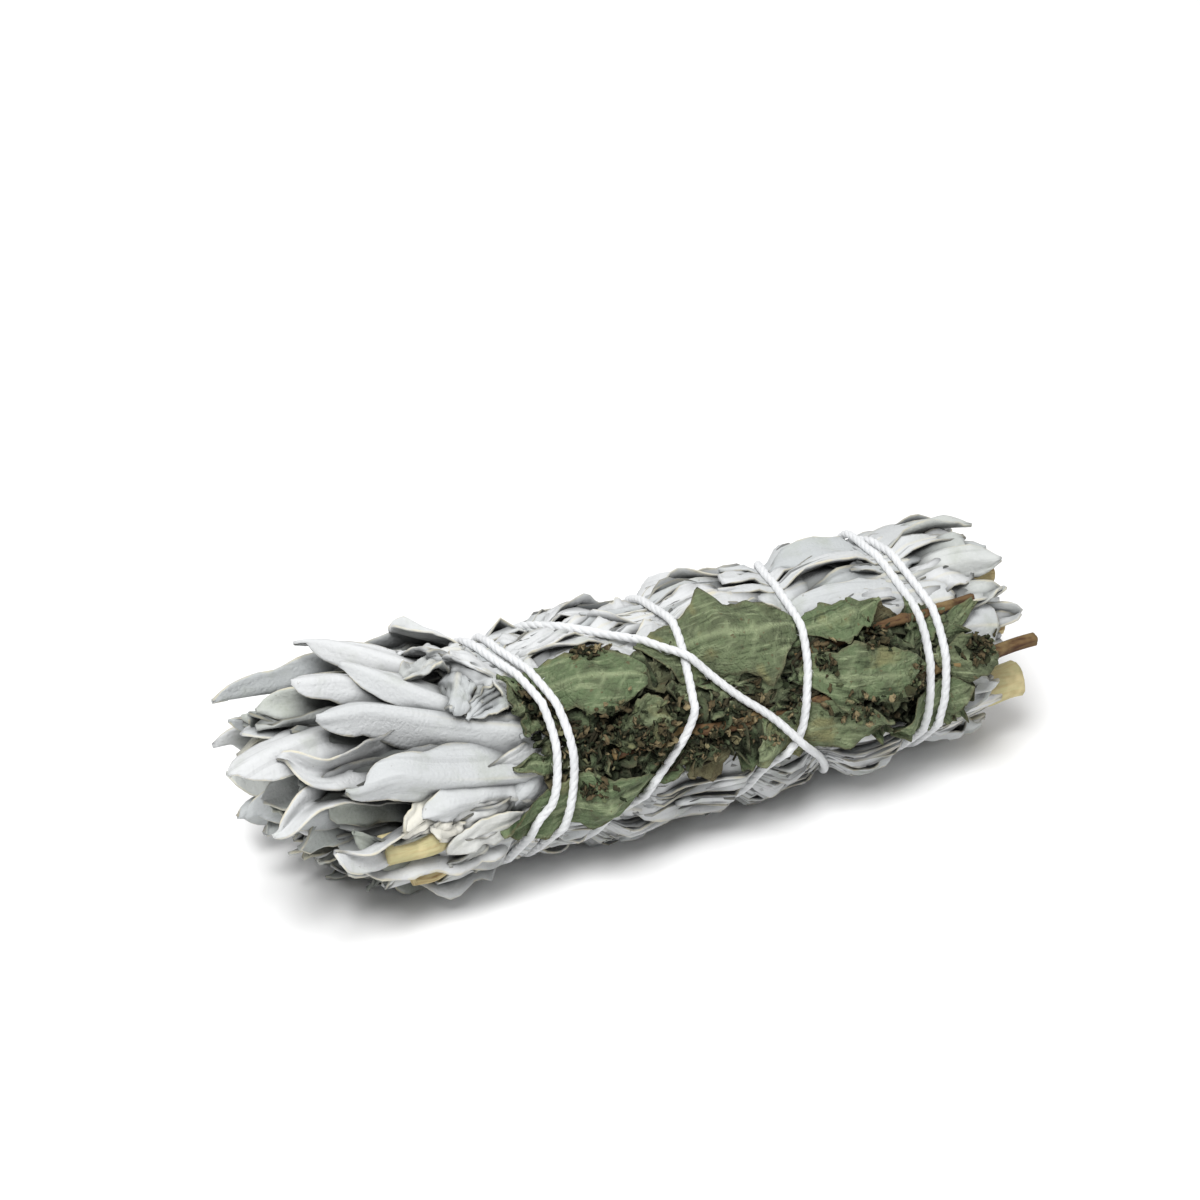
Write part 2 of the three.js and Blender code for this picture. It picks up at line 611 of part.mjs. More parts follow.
// Sage: the leaves and the packed core are one bunch, cut flat where it lies and bored for its stems.
const leaves = wasm.Manifold.union([solidOf(coreGeometry()), ...sageLeaves().map(solidOf)]);
let sage = leaves.subtract(solidOf(surfaceSlab));
for (const stem of SAGE_STEMS) sage = sage.subtract(solidOf(stemGeometry(stem, GAP)));
sage = largestBody(sage);
placed.push(sage);
relief.add(geometryOf(sage));
SAGE_STEMS.forEach((stem, i) => place(`sage_stem_${i + 1}`, solidOf(stemGeometry(stem)), materials.STEM_TAN));

// Mint, in the order in which it was laid on
MINT_STEMS.forEach(({ radius, route }, i) => {
  const make = (lift) => solidOf(rodGeometry(layRoute(route, radius, lift), radius, 8, route.length * 2));
  place(`mint_stem_${i + 1}`, clearOfAll(make), materials.MINT_BROWN);
});
MINT_LEAVES.forEach((leaf, i) => {
  const make = (lift) =>
    solidOf(bladeGeometry(mintLeafSurface(leaf, lift), MINT_STEPS_ALONG, MINT_STEPS_ACROSS, MINT_THICKNESS));
  place(`mint_leaf_${i + 1}`, clearOfAll(make), materials.MINT_GREEN);
});
MINT_HEADS.forEach((head, i) => {
  place(`mint_flower_head_${i + 1}`, clearOfAll((lift) => mintHead(head, lift)), materials.MINT_BROWN);
});

// String
const line = stringLine();
place("cotton_string", largestBody(stringSolid(line, 0).add(knotSolid(line))), materials.STRING_WHITE);
const groovedSage = sage.subtract(stringSolid(line, GROOVE_GAP)).simplify(LEAF_TOLERANCE);
place("sage_bunch", largestBody(groovedSage), materials.SAGE_GREY);

// The part's origin is under the middle of the bundle, on the surface that it lies on.
const box = new THREE.Box3().setFromObject(bundle);
const middle = box.getCenter(new THREE.Vector3());
bundle.position.set(-middle.x, -middle.y, -box.min.z);
const smudgeStick = new THREE.Group().add(bundle);

export default smudgeStick;
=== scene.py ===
"""A smudge stick: dried white sage tied in a bundle with cotton string, with a mint sprig on its front.

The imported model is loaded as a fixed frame, and each of its nodes is stood for by a finer piece here.
Places along the bundle are in millimetres from its middle, angles about it are in degrees (0 is up, 90 is
the front, 180 is down), and distances from its axis are in millimetres.
"""
import math

import bpy
import numpy as np
from bpy.props import FloatProperty, FloatVectorProperty, IntProperty, PointerProperty
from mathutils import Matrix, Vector
from mathutils.bvhtree import BVHTree


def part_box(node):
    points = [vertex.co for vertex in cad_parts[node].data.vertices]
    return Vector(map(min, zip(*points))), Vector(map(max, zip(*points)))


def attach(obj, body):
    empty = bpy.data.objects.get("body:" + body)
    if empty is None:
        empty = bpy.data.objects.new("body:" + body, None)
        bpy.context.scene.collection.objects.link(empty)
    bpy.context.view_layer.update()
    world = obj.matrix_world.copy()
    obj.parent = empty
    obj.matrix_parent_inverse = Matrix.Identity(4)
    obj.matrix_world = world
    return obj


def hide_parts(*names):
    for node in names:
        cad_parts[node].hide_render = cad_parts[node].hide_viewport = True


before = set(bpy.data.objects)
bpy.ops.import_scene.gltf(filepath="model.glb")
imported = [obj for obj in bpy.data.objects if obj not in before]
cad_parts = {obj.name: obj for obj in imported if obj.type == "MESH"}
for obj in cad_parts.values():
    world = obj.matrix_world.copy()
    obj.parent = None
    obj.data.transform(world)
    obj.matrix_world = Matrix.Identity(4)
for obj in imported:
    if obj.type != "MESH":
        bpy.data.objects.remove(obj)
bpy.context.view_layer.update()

bl_info = {
    "name": "Smudge stick",
    "version": (1, 0, 0),
    "blender": (4, 5, 0),
    "location": "View3D > Sidebar > Smudge stick",
    "description": "Builds a tied bundle of dried white sage and mint on its packed model",
    "category": "Add Mesh",
}

BODY = "root"
MM = 0.001
AXIS_HEIGHT = 15.5  # the bundle's axis above the surface that it lies on
CORE_RADIUS = 12.4
STRING_DIAMETER = 1.3
FLOOR_GAP = 0.02  # the least distance of a blade from the surface
GOLDEN_ANGLE, GOLDEN_SHARE = 137.508, 0.618
SEED = 7

# How far from the axis the string draws in the sage, the mint leaves, the mint stems and the crumbled mint.
SAGE_REST, MINT_REST, MINT_STEM_REST, CRUMB_REST = 13.7, 15.7, 14.6, 15.6

# The sage leaves in the part's rows about the bundle, where it sets them and how it varies them.
SAGE_ROWS = [
    dict(count=8, arc=(0, 360), span=(52.5, 12), radii=(12.7, 13.8, 14.6), width=13.2,
         fold=3, roll=3, ends=(0.7, 0.2)),
    dict(count=8, arc=(70, 430), span=(24, -16), radii=(11.2, 13.9, 14.8), width=13.6,
         fold=3, roll=3, ends=(0.4, 0.15)),
    dict(count=6, arc=(95, 345), span=(-2, -40), radii=(11.2, 14.0, 15.4), width=13.2,
         fold=5, roll=6, ends=(0.4, 0.15)),
    dict(count=7, arc=(100, 335), span=(-22, -56), radii=(10.6, 14.0, 15.8), width=11.6,
         fold=26, roll=18, ends=(0.4, 0.2)),
    dict(count=6, arc=(0, 360), span=(-26, -57), radii=(6.5, 9.4, 12.4), width=10.4,
         fold=30, roll=22, ends=(0.4, 0.2)),
    dict(count=3, arc=(0, 360), span=(-30, -57), radii=(3.0, 4.2, 5.6), width=9.2,
         fold=30, roll=30, ends=(0.4, 0.25)),
    dict(count=5, arc=(20, 380), span=(40, 52), radii=(10.6, 10.8, 11.0), width=6.0,
         fold=28, roll=40, ends=(0.6, 0.5)),
]
# The leaves of the front fan, set as in the part and folded further. Each tip is bent besides: outward by its
# hook (millimetres) and round the bundle by its veer (degrees). A strap keeps its width nearly to its tip.
FAN_LEAVES = [
    dict(root=(-15, 38, 13.4), tip=(-45, -33, 19.5), width=9, fold=-46,
         roll=14, hook=0.6, veer=-4, strap=0.3),
    dict(root=(-14, 47, 13.7), tip=(-50.5, -2, 19.5), width=9.5, fold=-40,
         roll=12, hook=0.4, veer=6, strap=0.6),
    dict(root=(-13, 54, 14.2), tip=(-43.5, 4, 20.0), width=8, fold=-48,
         roll=8, hook=0.0, veer=-3, strap=0.5),
    dict(root=(-13, 60, 14.3), tip=(-49.5, 17, 19.5), width=10, fold=-50,
         roll=10, hook=-0.4, veer=5, strap=0.9),
    dict(root=(-13, 77, 14.3), tip=(-48.5, 44, 19.5), width=10, fold=-52,
         roll=6, hook=-2.2, veer=10, strap=0.9),
    dict(root=(-28, 12, 12.5), tip=(-62.5, 35, 17.8), width=11, fold=-24,
         roll=-14, hook=0.0, veer=0, strap=0.0),
    dict(root=(-32, 36, 11.5), tip=(-56, 41, 16.5), width=8.5, fold=46,
         roll=20, hook=1.2, veer=-8, strap=0.7),
    dict(root=(-33, 60, 10.5), tip=(-58.5, 58, 16.0), width=8.5, fold=52,
         roll=-20, hook=-1.0, veer=8, strap=0.6),
    dict(root=(-31, 80, 12.0), tip=(-51.5, 84, 16.5), width=8, fold=48,
         roll=16, hook=0.8, veer=-6, strap=0.8),
    dict(root=(-20, 90, 14.2), tip=(-39, 71, 18.0), width=7.5, fold=-30,
         roll=4, hook=-1.5, veer=4, strap=0.8),
    dict(root=(-14, 104, 14.0), tip=(-38, 99, 15.6), width=8, fold=22,
         roll=-6, hook=-1.2, veer=5, strap=0.7),
    dict(root=(-16, 4, 13.8), tip=(-32, -30, 17.5), width=7.5, fold=44,
         roll=12, hook=1.0, veer=-6, strap=0.7),
    dict(root=(-17, 24, 14.0), tip=(-30, 2, 18.0), width=8, fold=40,
         roll=-18, hook=0.6, veer=6, strap=0.7),
]
FAN_ENDS, FAN_LIFT, FAN_CRUMPLE, FAN_TONE = (0.85, 0.25), 0.5, 0.8, 0.55
FAN_SWAY = 4
LEAF_WIDEST = 0.42  # as a share of a leaf's length
# The leaf end slants: its furthest tip, how much sooner tips end towards the low front, and that angle.
LEAF_END, END_SLANT, LOW_FRONT = -57, 1.1, 150
# Tips low on the front are tucked in: how far, that side's angle, and the place that their row reaches past.
TUCK, TUCK_SIDE, TUCK_BEYOND = 2.8, 128, -30
# How the leaves of a row differ from each other.
LENGTH_VARIES, ROOT_VARIES = 5, 3
WIDTH_VARIES, FOLD_VARIES = 0.15, 0.6
ANGLE_VARIES = 11
DRIFT = 16
SWAY = 6
RADIUS_VARIES = 0.25
OVERLAP_LIFT = 1.0
RIDGED_SHARE = 0.3
# The ties draw the long leaves in: how far apart they are, the middle between two of them, and how much.
TIE_PITCH, TIE_MIDDLE, TIE_PINCH = 18.6, 9.3, 0.7

# The smaller leaves: where the barrel has them, how far from the axis the strips lie, and how far from it the
# leaf tips and the leaf ends at the butt are spread.
BARREL, STRIP_LEVEL, TIP_SPREAD, BUTT_SPREAD = (-22, 43), 14.3, 15.2, 14.0
# Leaves beside the fattest stem stop short, so that it shows: how near in degrees, and where they stop.
FAT_STEM_SIDE, LONG_STOP, BUTT_STOP = 34, 47, 47.5
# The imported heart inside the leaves: its span, its radius, and the middle and half length of its rounding.
HEART_SPAN, HEART_RADIUS, HEART_MIDDLE, HEART_HALF = (-33, 48), 11.6, 7.5, 41.5

# Small torn leaves on the leaf end, low on its front and crumpled on its top: place along the bundle, angle
# about it, length, width, distance from the axis, heading (degrees), how crumpled and how cream they are.
LOOSE_BITS = [
    (-32, 82, 12, 5.0, 15.6, -8, 1.0, 0.1), (-38.5, 75, 8, 5.0, 16.2, 24, 1.4, 0.55),
    (-30, 95, 12, 4.2, 16.1, 4, 0.8, 0.2), (-27, 106, 14, 4.5, 15.6, -3, 1.0, 0.0),
    (-27, 115, 10, 4.2, 15.6, 6, 1.2, 0.2), (-24, 120, 14, 4.0, 15.2, 2, 0.9, 0.0),
    (-29, 128, 14, 4.5, 14.9, -5, 1.2, 0.1), (-24, 100, 12, 4.0, 15.2, 10, 1.2, 0.0),
    (-35, 84, 6, 3.4, 15.9, -24, 1.4, 0.5), (-26, 138, 18, 5.0, 14.6, 3, 1.0, 0.0),
    (-32, 104, 7, 3.4, 16.0, 14, 1.4, 0.2), (-23, 112, 10, 4.5, 15.0, -6, 1.0, 0.0),
    (-24, 20, 9, 5.0, 16.2, 40, 2.4, 0.0), (-27, 10, 10, 6.0, 16.8, -35, 2.6, 0.0),
    (-30, 22, 8, 5.0, 17.2, 60, 2.2, 0.0), (-22, 30, 7, 4.5, 15.6, -50, 2.4, 0.0),
    (-33, 6, 9, 5.0, 17.4, 25, 2.4, 0.1), (-26, 33, 8, 4.0, 16.2, 15, 2.0, 0.0),
    (-20, 12, 8, 5.0, 15.0, 70, 2.4, 0.0), (-29, -8, 10, 6.0, 16.4, -20, 2.2, 0.0),
    (-23, -4, 9, 5.0, 15.6, 35, 2.4, 0.0),
]

# Cut stems: radius, distance from the axis, angle about it, inner end, outer end.
SAGE_STEMS = [
    (2.7, 10.4, 122, 14, 54.0),
    (2.1, 8.6, 62, 18, 51.5),
    (1.9, 9.0, 15, 20, 52.5),
    (2.2, 8.8, -38, 16, 50.5),
    (1.8, 9.2, 200, 18, 52.0),
    (2.3, 8.4, 250, 14, 53.5),
    (2.0, 3.6, 330, 12, 52.0),
    (2.4, 3.4, 150, 12, 53.0),
    (2.2, 13.0, 92, -24, -44.0),
    (2.0, 13.4, 116, -22, -39.5),
]
YOUNG_STEMS = (0, 8)
# The stubs at the leaf end flare outward at their ends and are sunk towards the tie.
STUB_FLARE, STUB_SINK = 1.0, 4.2

# The mint in the order in which it was laid, with its places as (along the bundle, angle about it).
MINT_LEAVES = [
    dict(base=(-5.5, 42), tip=(-24.5, 22), half_width=4.6, tone=0.25),
    dict(base=(-7.5, 86), tip=(-28.5, 92), half_width=4.2, tone=0.2),
    dict(base=(18.5, 34), tip=(-5.0, 24), half_width=6.4, tone=0.55),
    dict(base=(8.0, 84), tip=(28.5, 84), half_width=4.6, tone=0.6),
    dict(base=(16.5, 60), tip=(36.5, 68), half_width=3.8, tone=0.35),
    dict(base=(29.5, 100), tip=(41.5, 84), half_width=3.8, tone=0.4),
    dict(base=(19.0, 40), tip=(30.0, 34), half_width=2.8, tone=0.3),
    dict(base=(46.5, 73), tip=(36.5, 63), half_width=2.9, tone=0.8),
    dict(base=(-2.0, 62), tip=(-13.5, 60), half_width=2.6, tone=0.7),
]
MINT_STEMS = [
    (1.0, [(-12, 70), (-3, 69), (8, 72), (20, 72), (30, 73), (38, 73), (46, 74), (54, 75)]),
    (0.8, [(17, 49), (24, 47), (31, 45), (38, 44), (45, 43)]),
]
MINT_HEADS = [
    [(-22, 30), (-19, 40), (-17.5, 52), (-18, 64)],
    [(-14.5, 47), (-10, 49), (-5, 53), (0, 58)],
]
# The middle line of the sprig, and how far from the axis its stems and heads may be borne up.
SPRIG_XS, SPRIG_ANGLES = (-23, -5, 10, 25, 42), (62, 60, 60, 66, 74)
HIGHEST_BED = 16.2
MINT_CRUMPLE = 1.35
CRUMB_THICKNESS, CRUMB_RAGGED = 0.16, 0.17
SCRAPS, SCRAP_ARC = (-22, 41), 54
# Where crumbled mint lies besides: place along the bundle, angle about it, spread along it and about it.
MINT_CRUMBS = [
    (-20, 33, 2.5, 10), (-19, 55, 2.5, 10), (-12, 56, 3.5, 10), (-8, 66, 3.0, 8), (-3, 76, 3.5, 6),
    (0.5, 78, 3, 5), (-11, 22, 2.0, 5), (8, 62, 4, 8), (16, 68, 3, 8), (20, 52, 2, 8), (28, 50, 2, 6),
    (33, 74, 3, 8), (43, 66, 3, 6), (-14, 66, 4, 12), (-5, 64, 4, 9), (4, 72, 5, 7), (13, 80, 4, 5),
    (24, 76, 5, 8), (-16, 82, 3, 5),
]

# The string's route as (angle about the bundle, along it).
STRING_ROUTE = [
    (-90, 35.4), (-60, 36.6), (-30, 37.4), (0, 37.7), (50, 38.6), (85, 38.0), (110, 37.4), (180, 37.6),
    (270, 37.6), (330, 36.3), (360, 35.7), (410, 36.2), (467, 35.2), (540, 34.4), (600, 30.5), (660, 24.5),
    (700, 20.6), (722, 19.7), (760, 18.9), (790, 16.9), (808, 15.3), (833, 10.5), (900, 7.0), (990, 4.4),
    (1060, 2.4), (1093, 2.5), (1131, 0.6), (1150, -1.4), (1179, -8.0), (1198, -12.0), (1260, -15.5),
    (1350, -18.5), (1418, -20.6), (1447, -20.0), (1484, -18.0), (1510, -17.5), (1536, -18.6), (1563, -20.3),
    (1620, -22.0), (1710, -23.4), (1779, -22.9), (1807, -22.0), (1841, -19.9), (1860, -19.4), (1884, -20.6),
    (1906, -24.0), (1980, -25.0), (2060, -20.0), (2120, -14.2), (2147, -11.0), (2180, -3.2), (2198, 2.0),
    (2219, 7.4), (2239, 13.1), (2277, 21.0), (2340, 26.8), (2400, 32.4), (2430, 34.6),
]
KNOT_PLACE = (35, 270)
TAIL_ENDS = [(42.5, 281), (28.5, 262)]

# The camera: its direction from the bundle, its distance and the point that it looks at, from the axis.
CAMERA_AZIMUTH, CAMERA_ELEVATION, CAMERA_DISTANCE = -25.5, 33.0, 500.0
CAMERA_AIM = (-1.66, 9.51, 12.25)
CAMERA_LENS, CAMERA_SENSOR = 110.5, 36.0
FLOOR_SIZE = 3.0  # half its side, in metres

# The lights: their place from the bundle and their width, in metres.
LIGHTS = {
    "key": ((-0.3, -0.3, 0.8), 0.4),
    "fill": ((0.6, -0.35, 0.45), 0.6),
    "rim": ((0.1, 0.6, 0.5), 0.5),
}


# Numbers and places

class Draw:
    """Random numbers from 0 to 1, drawn in the same order as the part draws them."""

    WORD = 0xFFFFFFFF

    def __init__(self, seed):
        self.state = seed & self.WORD

    def __call__(self):
        self.state = (self.state + 0x6D2B79F5) & self.WORD
        t = ((self.state ^ (self.state >> 15)) * (self.state | 1)) & self.WORD
        t ^= (t + ((t ^ (t >> 7)) * (t | 61))) & self.WORD
        return (t ^ (t >> 14)) / 4294967296


def mix(a, b, share):
    return a + (b - a) * share


def smoothstep(value, low, high):
    share = np.clip((value - low) / (high - low), 0, 1)
    return share * share * (3 - 2 * share)


def on_bundle(x, angle, radius):
    """The point at a place along the bundle, an angle about it and a distance from its axis."""
    x, turn, radius = np.broadcast_arrays(np.asarray(x, float), np.radians(angle), np.asarray(radius, float))
    return np.stack([x, -radius * np.sin(turn), radius * np.cos(turn)], axis=-1)


def unit(vectors):
    return vectors / np.maximum(np.linalg.norm(vectors, axis=-1, keepdims=True), 1e-9)


def pinch(x):
    """How far the string draws the long leaves in at a place along the bundle."""
    turns = (x - TIE_MIDDLE) / TIE_PITCH - 0.5
    return np.where(np.abs(turns) < 2.3, TIE_PINCH * np.cos(2 * np.pi * turns), 0)


def wobble(rng, t, knots):
    """A smooth random line from -1 to 1 along t from 0 to 1."""
    heights = rng.uniform(-1, 1, knots + 3)
    place = np.clip(t, 0, 1) * knots
    i = np.minimum(place.astype(int), knots - 1)
    w = place - i
    w = w * w * (3 - 2 * w)
    return mix(heights[i], heights[i + 1], w)


def bundle_axis():
    """The middle of the bundle's axis in the frame, in millimetres, found from its first stem."""
    _, distance, angle, inner, outer = SAGE_STEMS[0]
    low, high = (np.array(corner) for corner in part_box("sage_stem_1"))
    return (low + high) / 2 / MM - on_bundle((inner + outer) / 2, angle, distance)


AXIS = bundle_axis()


def spline(points, count):
    """Evenly spaced points on a smooth curve through points of any dimension."""
    points = np.asarray(points, float)
    last = len(points) - 1
    t = np.linspace(0, last, max(last * 60, 200))
    i = np.minimum(t.astype(int), last - 1)
    w = (t - i)[:, None]
    p0, p1 = points[np.maximum(i - 1, 0)], points[i]
    p2, p3 = points[np.minimum(i + 1, last)], points[np.minimum(i + 2, last)]
    v0, v1 = (p2 - p0) / 2, (p3 - p1) / 2
    curve = (2 * p1 - 2 * p2 + v0 + v1) * w**3 + (3 * p2 - 3 * p1 - 2 * v0 - v1) * w**2 + v0 * w + p1
    run = np.concatenate([[0], np.cumsum(np.linalg.norm(np.diff(curve, axis=0), axis=1))])
    even = np.linspace(0, run[-1], count)
    return np.stack([np.interp(even, run, column) for column in curve.T], axis=1)


def string_route(sample):
    """Evenly spaced places of the string: along the bundle, and angle about it."""
    unrolled = [(x, math.radians(angle) * AXIS_HEIGHT) for angle, x in STRING_ROUTE]
    dense = spline(unrolled, 4000)
    length = np.linalg.norm(np.diff(dense, axis=0), axis=1).sum()
    flat = spline(unrolled, int(length / sample) + 1)
    return flat[:, 0], np.degrees(flat[:, 1] / AXIS_HEIGHT)


class Pull:
    """The string's pull: leaves near it are drawn in, and swell between its turns."""

    START, STEP, ROWS, COLUMNS = -40.0, 0.5, 180, 180

    def __init__(self):
        xs, angles = string_route(0.6)
        self.gap = np.empty((self.ROWS, self.COLUMNS))
        turns = np.arange(self.COLUMNS) * 360 / self.COLUMNS
        for i in range(self.ROWS):
            dx = self.START + i * self.STEP - xs
            da = (turns[:, None] - angles[None, :] + 180) % 360 - 180
            self.gap[i] = np.hypot(dx[None, :], np.radians(da) * AXIS_HEIGHT).min(axis=1)

    def distance(self, x, angle):
        row = np.clip((x - self.START) / self.STEP, 0, self.ROWS - 1.001)
        column = (angle % 360) * self.COLUMNS / 360
        i, j = row.astype(int), column.astype(int) % self.COLUMNS
        v, w = row - i, column - np.floor(column)
        k = (j + 1) % self.COLUMNS
        return mix(mix(self.gap[i, j], self.gap[i, k], w), mix(self.gap[i + 1, j], self.gap[i + 1, k], w), v)

    def draw_in(self, points, rest, swell=3.6):
        """Points of a leaf, drawn in to the distance given where the string passes over them."""
        radius = np.hypot(points[..., 1], points[..., 2])
        angle = np.degrees(np.arctan2(-points[..., 1], points[..., 2]))
        limit = rest + swell * smoothstep(self.distance(points[..., 0], angle), 0.4, 4.5)
        limit = limit + 8 * smoothstep(-points[..., 0], 27, 34) + 4 * smoothstep(points[..., 0], 42, 48)
        closer = radius - 0.85 * np.maximum(0, radius - limit)
        return points * np.stack([np.ones_like(radius), *[closer / np.maximum(radius, 1e-6)] * 2], axis=-1)


pull = Pull()


# Meshes

class Skin:
    """Gathers the points, faces and point values of one piece, in millimetres from the bundle's axis."""

    def __init__(self):
        self.points, self.faces, self.values, self.count, self.normals = [], [], {}, 0, []

    def add(self, points, faces, normals=None, **values):
        size = len(points)
        self.normals.append(np.zeros((size, 3)) if normals is None else normals)
        self.points.append(np.asarray(points, float))
        self.faces.extend((np.asarray(face) + self.count).tolist() for face in faces)
        for name in set(self.values) | set(values):
            parts = self.values.setdefault(name, [np.zeros(self.count)])
            parts.append(np.broadcast_to(np.asarray(values.get(name, 0), float), (size,)))
        self.count += size

    def piece(self, name, material, slot, *nodes):
        """The mesh object, riding on the body and standing for the nodes given."""
        mesh = bpy.data.meshes.new(name)
        mesh.from_pydata(((np.concatenate(self.points) + AXIS) * MM).tolist(), [], self.faces)
        mesh.polygons.foreach_set("use_smooth", np.ones(len(mesh.polygons), bool))
        for key, parts in self.values.items():
            attribute = mesh.attributes.new(key, "FLOAT", "POINT")
            attribute.data.foreach_set("value", np.concatenate(parts).astype(np.float32))
        mesh.materials.append(material)
        mesh.update()
        obj = bpy.data.objects.new(name, mesh)
        bpy.context.scene.collection.objects.link(obj)
        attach(obj, BODY)
        if nodes:
            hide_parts(*nodes)
        return obj


def grid_faces(rows, columns, start=0, flip=False):
    """Quads of a grid of points, row by row."""
    a = (np.arange(rows - 1)[:, None] * columns + np.arange(columns - 1)[None, :]).ravel() + start
    quads = np.stack([a, a + columns, a + columns + 1, a + 1], axis=1)
    return quads[:, ::-1] if flip else quads


def add_blade(skin, middle, thickness, **values):
    """A closed blade about a grid of middle points, with its thickness at each of them."""
    rows, columns, _ = middle.shape
    along = np.gradient(middle, axis=0)
    across = np.gradient(middle, axis=1)
    normal = unit(np.cross(along, across))
    half = normal * (thickness / 2)[..., None]
    size = rows * columns
    points = np.concatenate([(middle + half).reshape(-1, 3), (middle - half).reshape(-1, 3)])
    normals = np.concatenate([normal.reshape(-1, 3), -normal.reshape(-1, 3)])
    points[:, 2] = np.maximum(points[:, 2], -AXIS_HEIGHT + FLOOR_GAP)
    border = np.concatenate([
        np.arange(columns),
        np.arange(1, rows) * columns + columns - 1,
        (rows - 1) * columns + np.arange(columns - 2, -1, -1),
        np.arange(rows - 2, 0, -1) * columns,
    ])
    following = np.roll(border, -1)
    rim = np.stack([border, following, following + size, border + size], axis=1)
    faces = np.concatenate([grid_faces(rows, columns), grid_faces(rows, columns, size, True), rim])
    both = {
        name: np.tile(np.broadcast_to(value, (rows, columns)).ravel(), 2)
        for name, value in values.items()
    }
    skin.add(points, faces, normals, under=np.repeat([0.0, 1.0], size), **both)


def add_tube(skin, line, radii, sides, shape=None, cut=False, **values):
    """A closed tube along a line of points, with its radius at each and an optional shape round it."""
    line = np.asarray(line, float)
    count = len(line)
    radii = np.broadcast_to(np.asarray(radii, float), (count,))
    heading = unit(np.gradient(line, axis=0))
    side = np.cross(heading[0], (0.0, 0.0, 1.0))
    if np.linalg.norm(side) < 0.1:
        side = np.cross(heading[0], (0.0, 1.0, 0.0))
    angles = np.linspace(0, 2 * np.pi, sides, endpoint=False)
    bulge = np.ones(sides) if shape is None else shape(angles)
    rings = []
    for i in range(count):
        side = unit(side - heading[i] * np.dot(side, heading[i]))
        other = np.cross(heading[i], side)
        ring = np.outer(np.cos(angles) * bulge, side) + np.outer(np.sin(angles) * bulge, other)
        rings.append(line[i] + ring * radii[i])
    points = np.concatenate([*rings, line[:1], line[-1:]])
    a = (np.arange(count - 1)[:, None] * sides + np.arange(sides)[None, :]).ravel()
    b = (np.arange(count - 1)[:, None] * sides + (np.arange(sides)[None, :] + 1) % sides).ravel()
    walls = np.stack([a, b, b + sides, a + sides], axis=1).tolist()
    ring, end = np.arange(sides), (count - 1) * sides
    after = np.roll(ring, -1)
    start_cap = np.stack([after, ring, np.full(sides, count * sides)], axis=1).tolist()
    end_cap = np.stack([end + ring, end + after, np.full(sides, count * sides + 1)], axis=1).tolist()
    spread = {}
    for name, value in values.items():
        value = np.broadcast_to(np.asarray(value, float), (count,))
        spread[name] = np.concatenate([np.repeat(value, sides), value[:1], value[-1:]])
    if cut:
        spread["cut"] = np.concatenate([np.zeros(count * sides), [1.0, 1.0]])
    skin.add(points, walls + start_cap + end_cap, **spread)


class Relief:
    """What stands furthest out on the bundle, read by rays cast in towards its axis."""

    FAR = 45.0

    def __init__(self):
        self.trees, self.skins = [], []

    def add(self, *skins):
        for skin in skins:
            self.skins.append(skin)
            self.trees.append(BVHTree.FromPolygons(np.concatenate(skin.points).tolist(), skin.faces))

    def height(self, x, angle):
        start = Vector(on_bundle(x, angle, self.FAR))
        towards = Vector(on_bundle(0, angle, -1.0))
        best = CORE_RADIUS - 1.0
        for tree in self.trees:
            hit = tree.ray_cast(start, towards, self.FAR)[0]
            if hit is not None:
                best = max(best, math.hypot(hit.y, hit.z))
        return best

    def highest(self, x, angle, reach):
        turn = math.degrees(reach / AXIS_HEIGHT)
        around = [(0, 0), (reach, 0), (-reach, 0), (0, turn), (0, -turn)]
        return max(self.height(x + dx, angle + da) for dx, da in around)


relief = Relief()


def evened(skin, values, rounds=2):
    """Point values of a skin, evened out between neighbours."""
    quads = np.array([face for face in skin.faces if len(face) == 4])
    corners = quads.ravel()
    share = np.maximum(np.bincount(corners, minlength=skin.count), 1)
    for _ in range(rounds):
        level = np.repeat(values[quads].mean(axis=1), 4)
        values = np.bincount(corners, weights=level, minlength=skin.count) / share
    return values


def add_openness(skins, around, rng, rays=8, reach=7.0):
    """Gives each point of the skins the share of its rays that meet neither them nor what is around: the
    materials paint shade where it is low.
    """
    everything = [*skins, *around]
    points = np.concatenate([np.concatenate(skin.points) for skin in everything])
    faces, start = [], 0
    for skin in everything:
        faces.extend([[i + start for i in face] for face in skin.faces])
        start += skin.count
    tree = BVHTree.FromPolygons(points.tolist(), faces)
    for skin in skins:
        normals = np.concatenate(skin.normals)
        starts = (np.concatenate(skin.points) + normals * 0.08).tolist()
        free = np.zeros(skin.count)
        for _ in range(rays):
            aims = unit(normals + unit(rng.normal(size=normals.shape)) * 0.95).tolist()
            free += [tree.ray_cast(a, b, reach)[0] is None for a, b in zip(starts, aims)]
        skin.values["open"] = [evened(skin, free / rays)]


# Sage leaves

def leaf_outline(along, root, tip):
    """The outline of a leaf as a share of its half width, rounded off at its very tip."""
    along = np.clip(along, 0, 1)
    grow = mix(root, 1, np.sin(np.pi / 2 * np.clip(along / LEAF_WIDEST, 0, 1)))
    fall = np.cos(np.pi / 2 * np.clip((along - LEAF_WIDEST) / (1 - LEAF_WIDEST), 0, 1)) ** 0.8
    outline = np.where(along < LEAF_WIDEST, grow, mix(tip, 1, fall))
    return outline * np.sqrt(np.clip(1 - (np.clip(along - 0.93, 0, 1) / 0.07) ** 2, 0.01, 1))


def strap_outline(along, root):
    """The outline of a leaf that keeps its width nearly to its blunt tip."""
    along = np.clip(along, 0, 1)
    width = mix(root, 1, smoothstep(along, 0, 0.3)) * (1 - 0.35 * smoothstep(along, 0.45, 1))
    return width * np.sqrt(np.clip(1 - (np.clip(along - 0.84, 0, 1) / 0.16) ** 2, 0.01, 1))


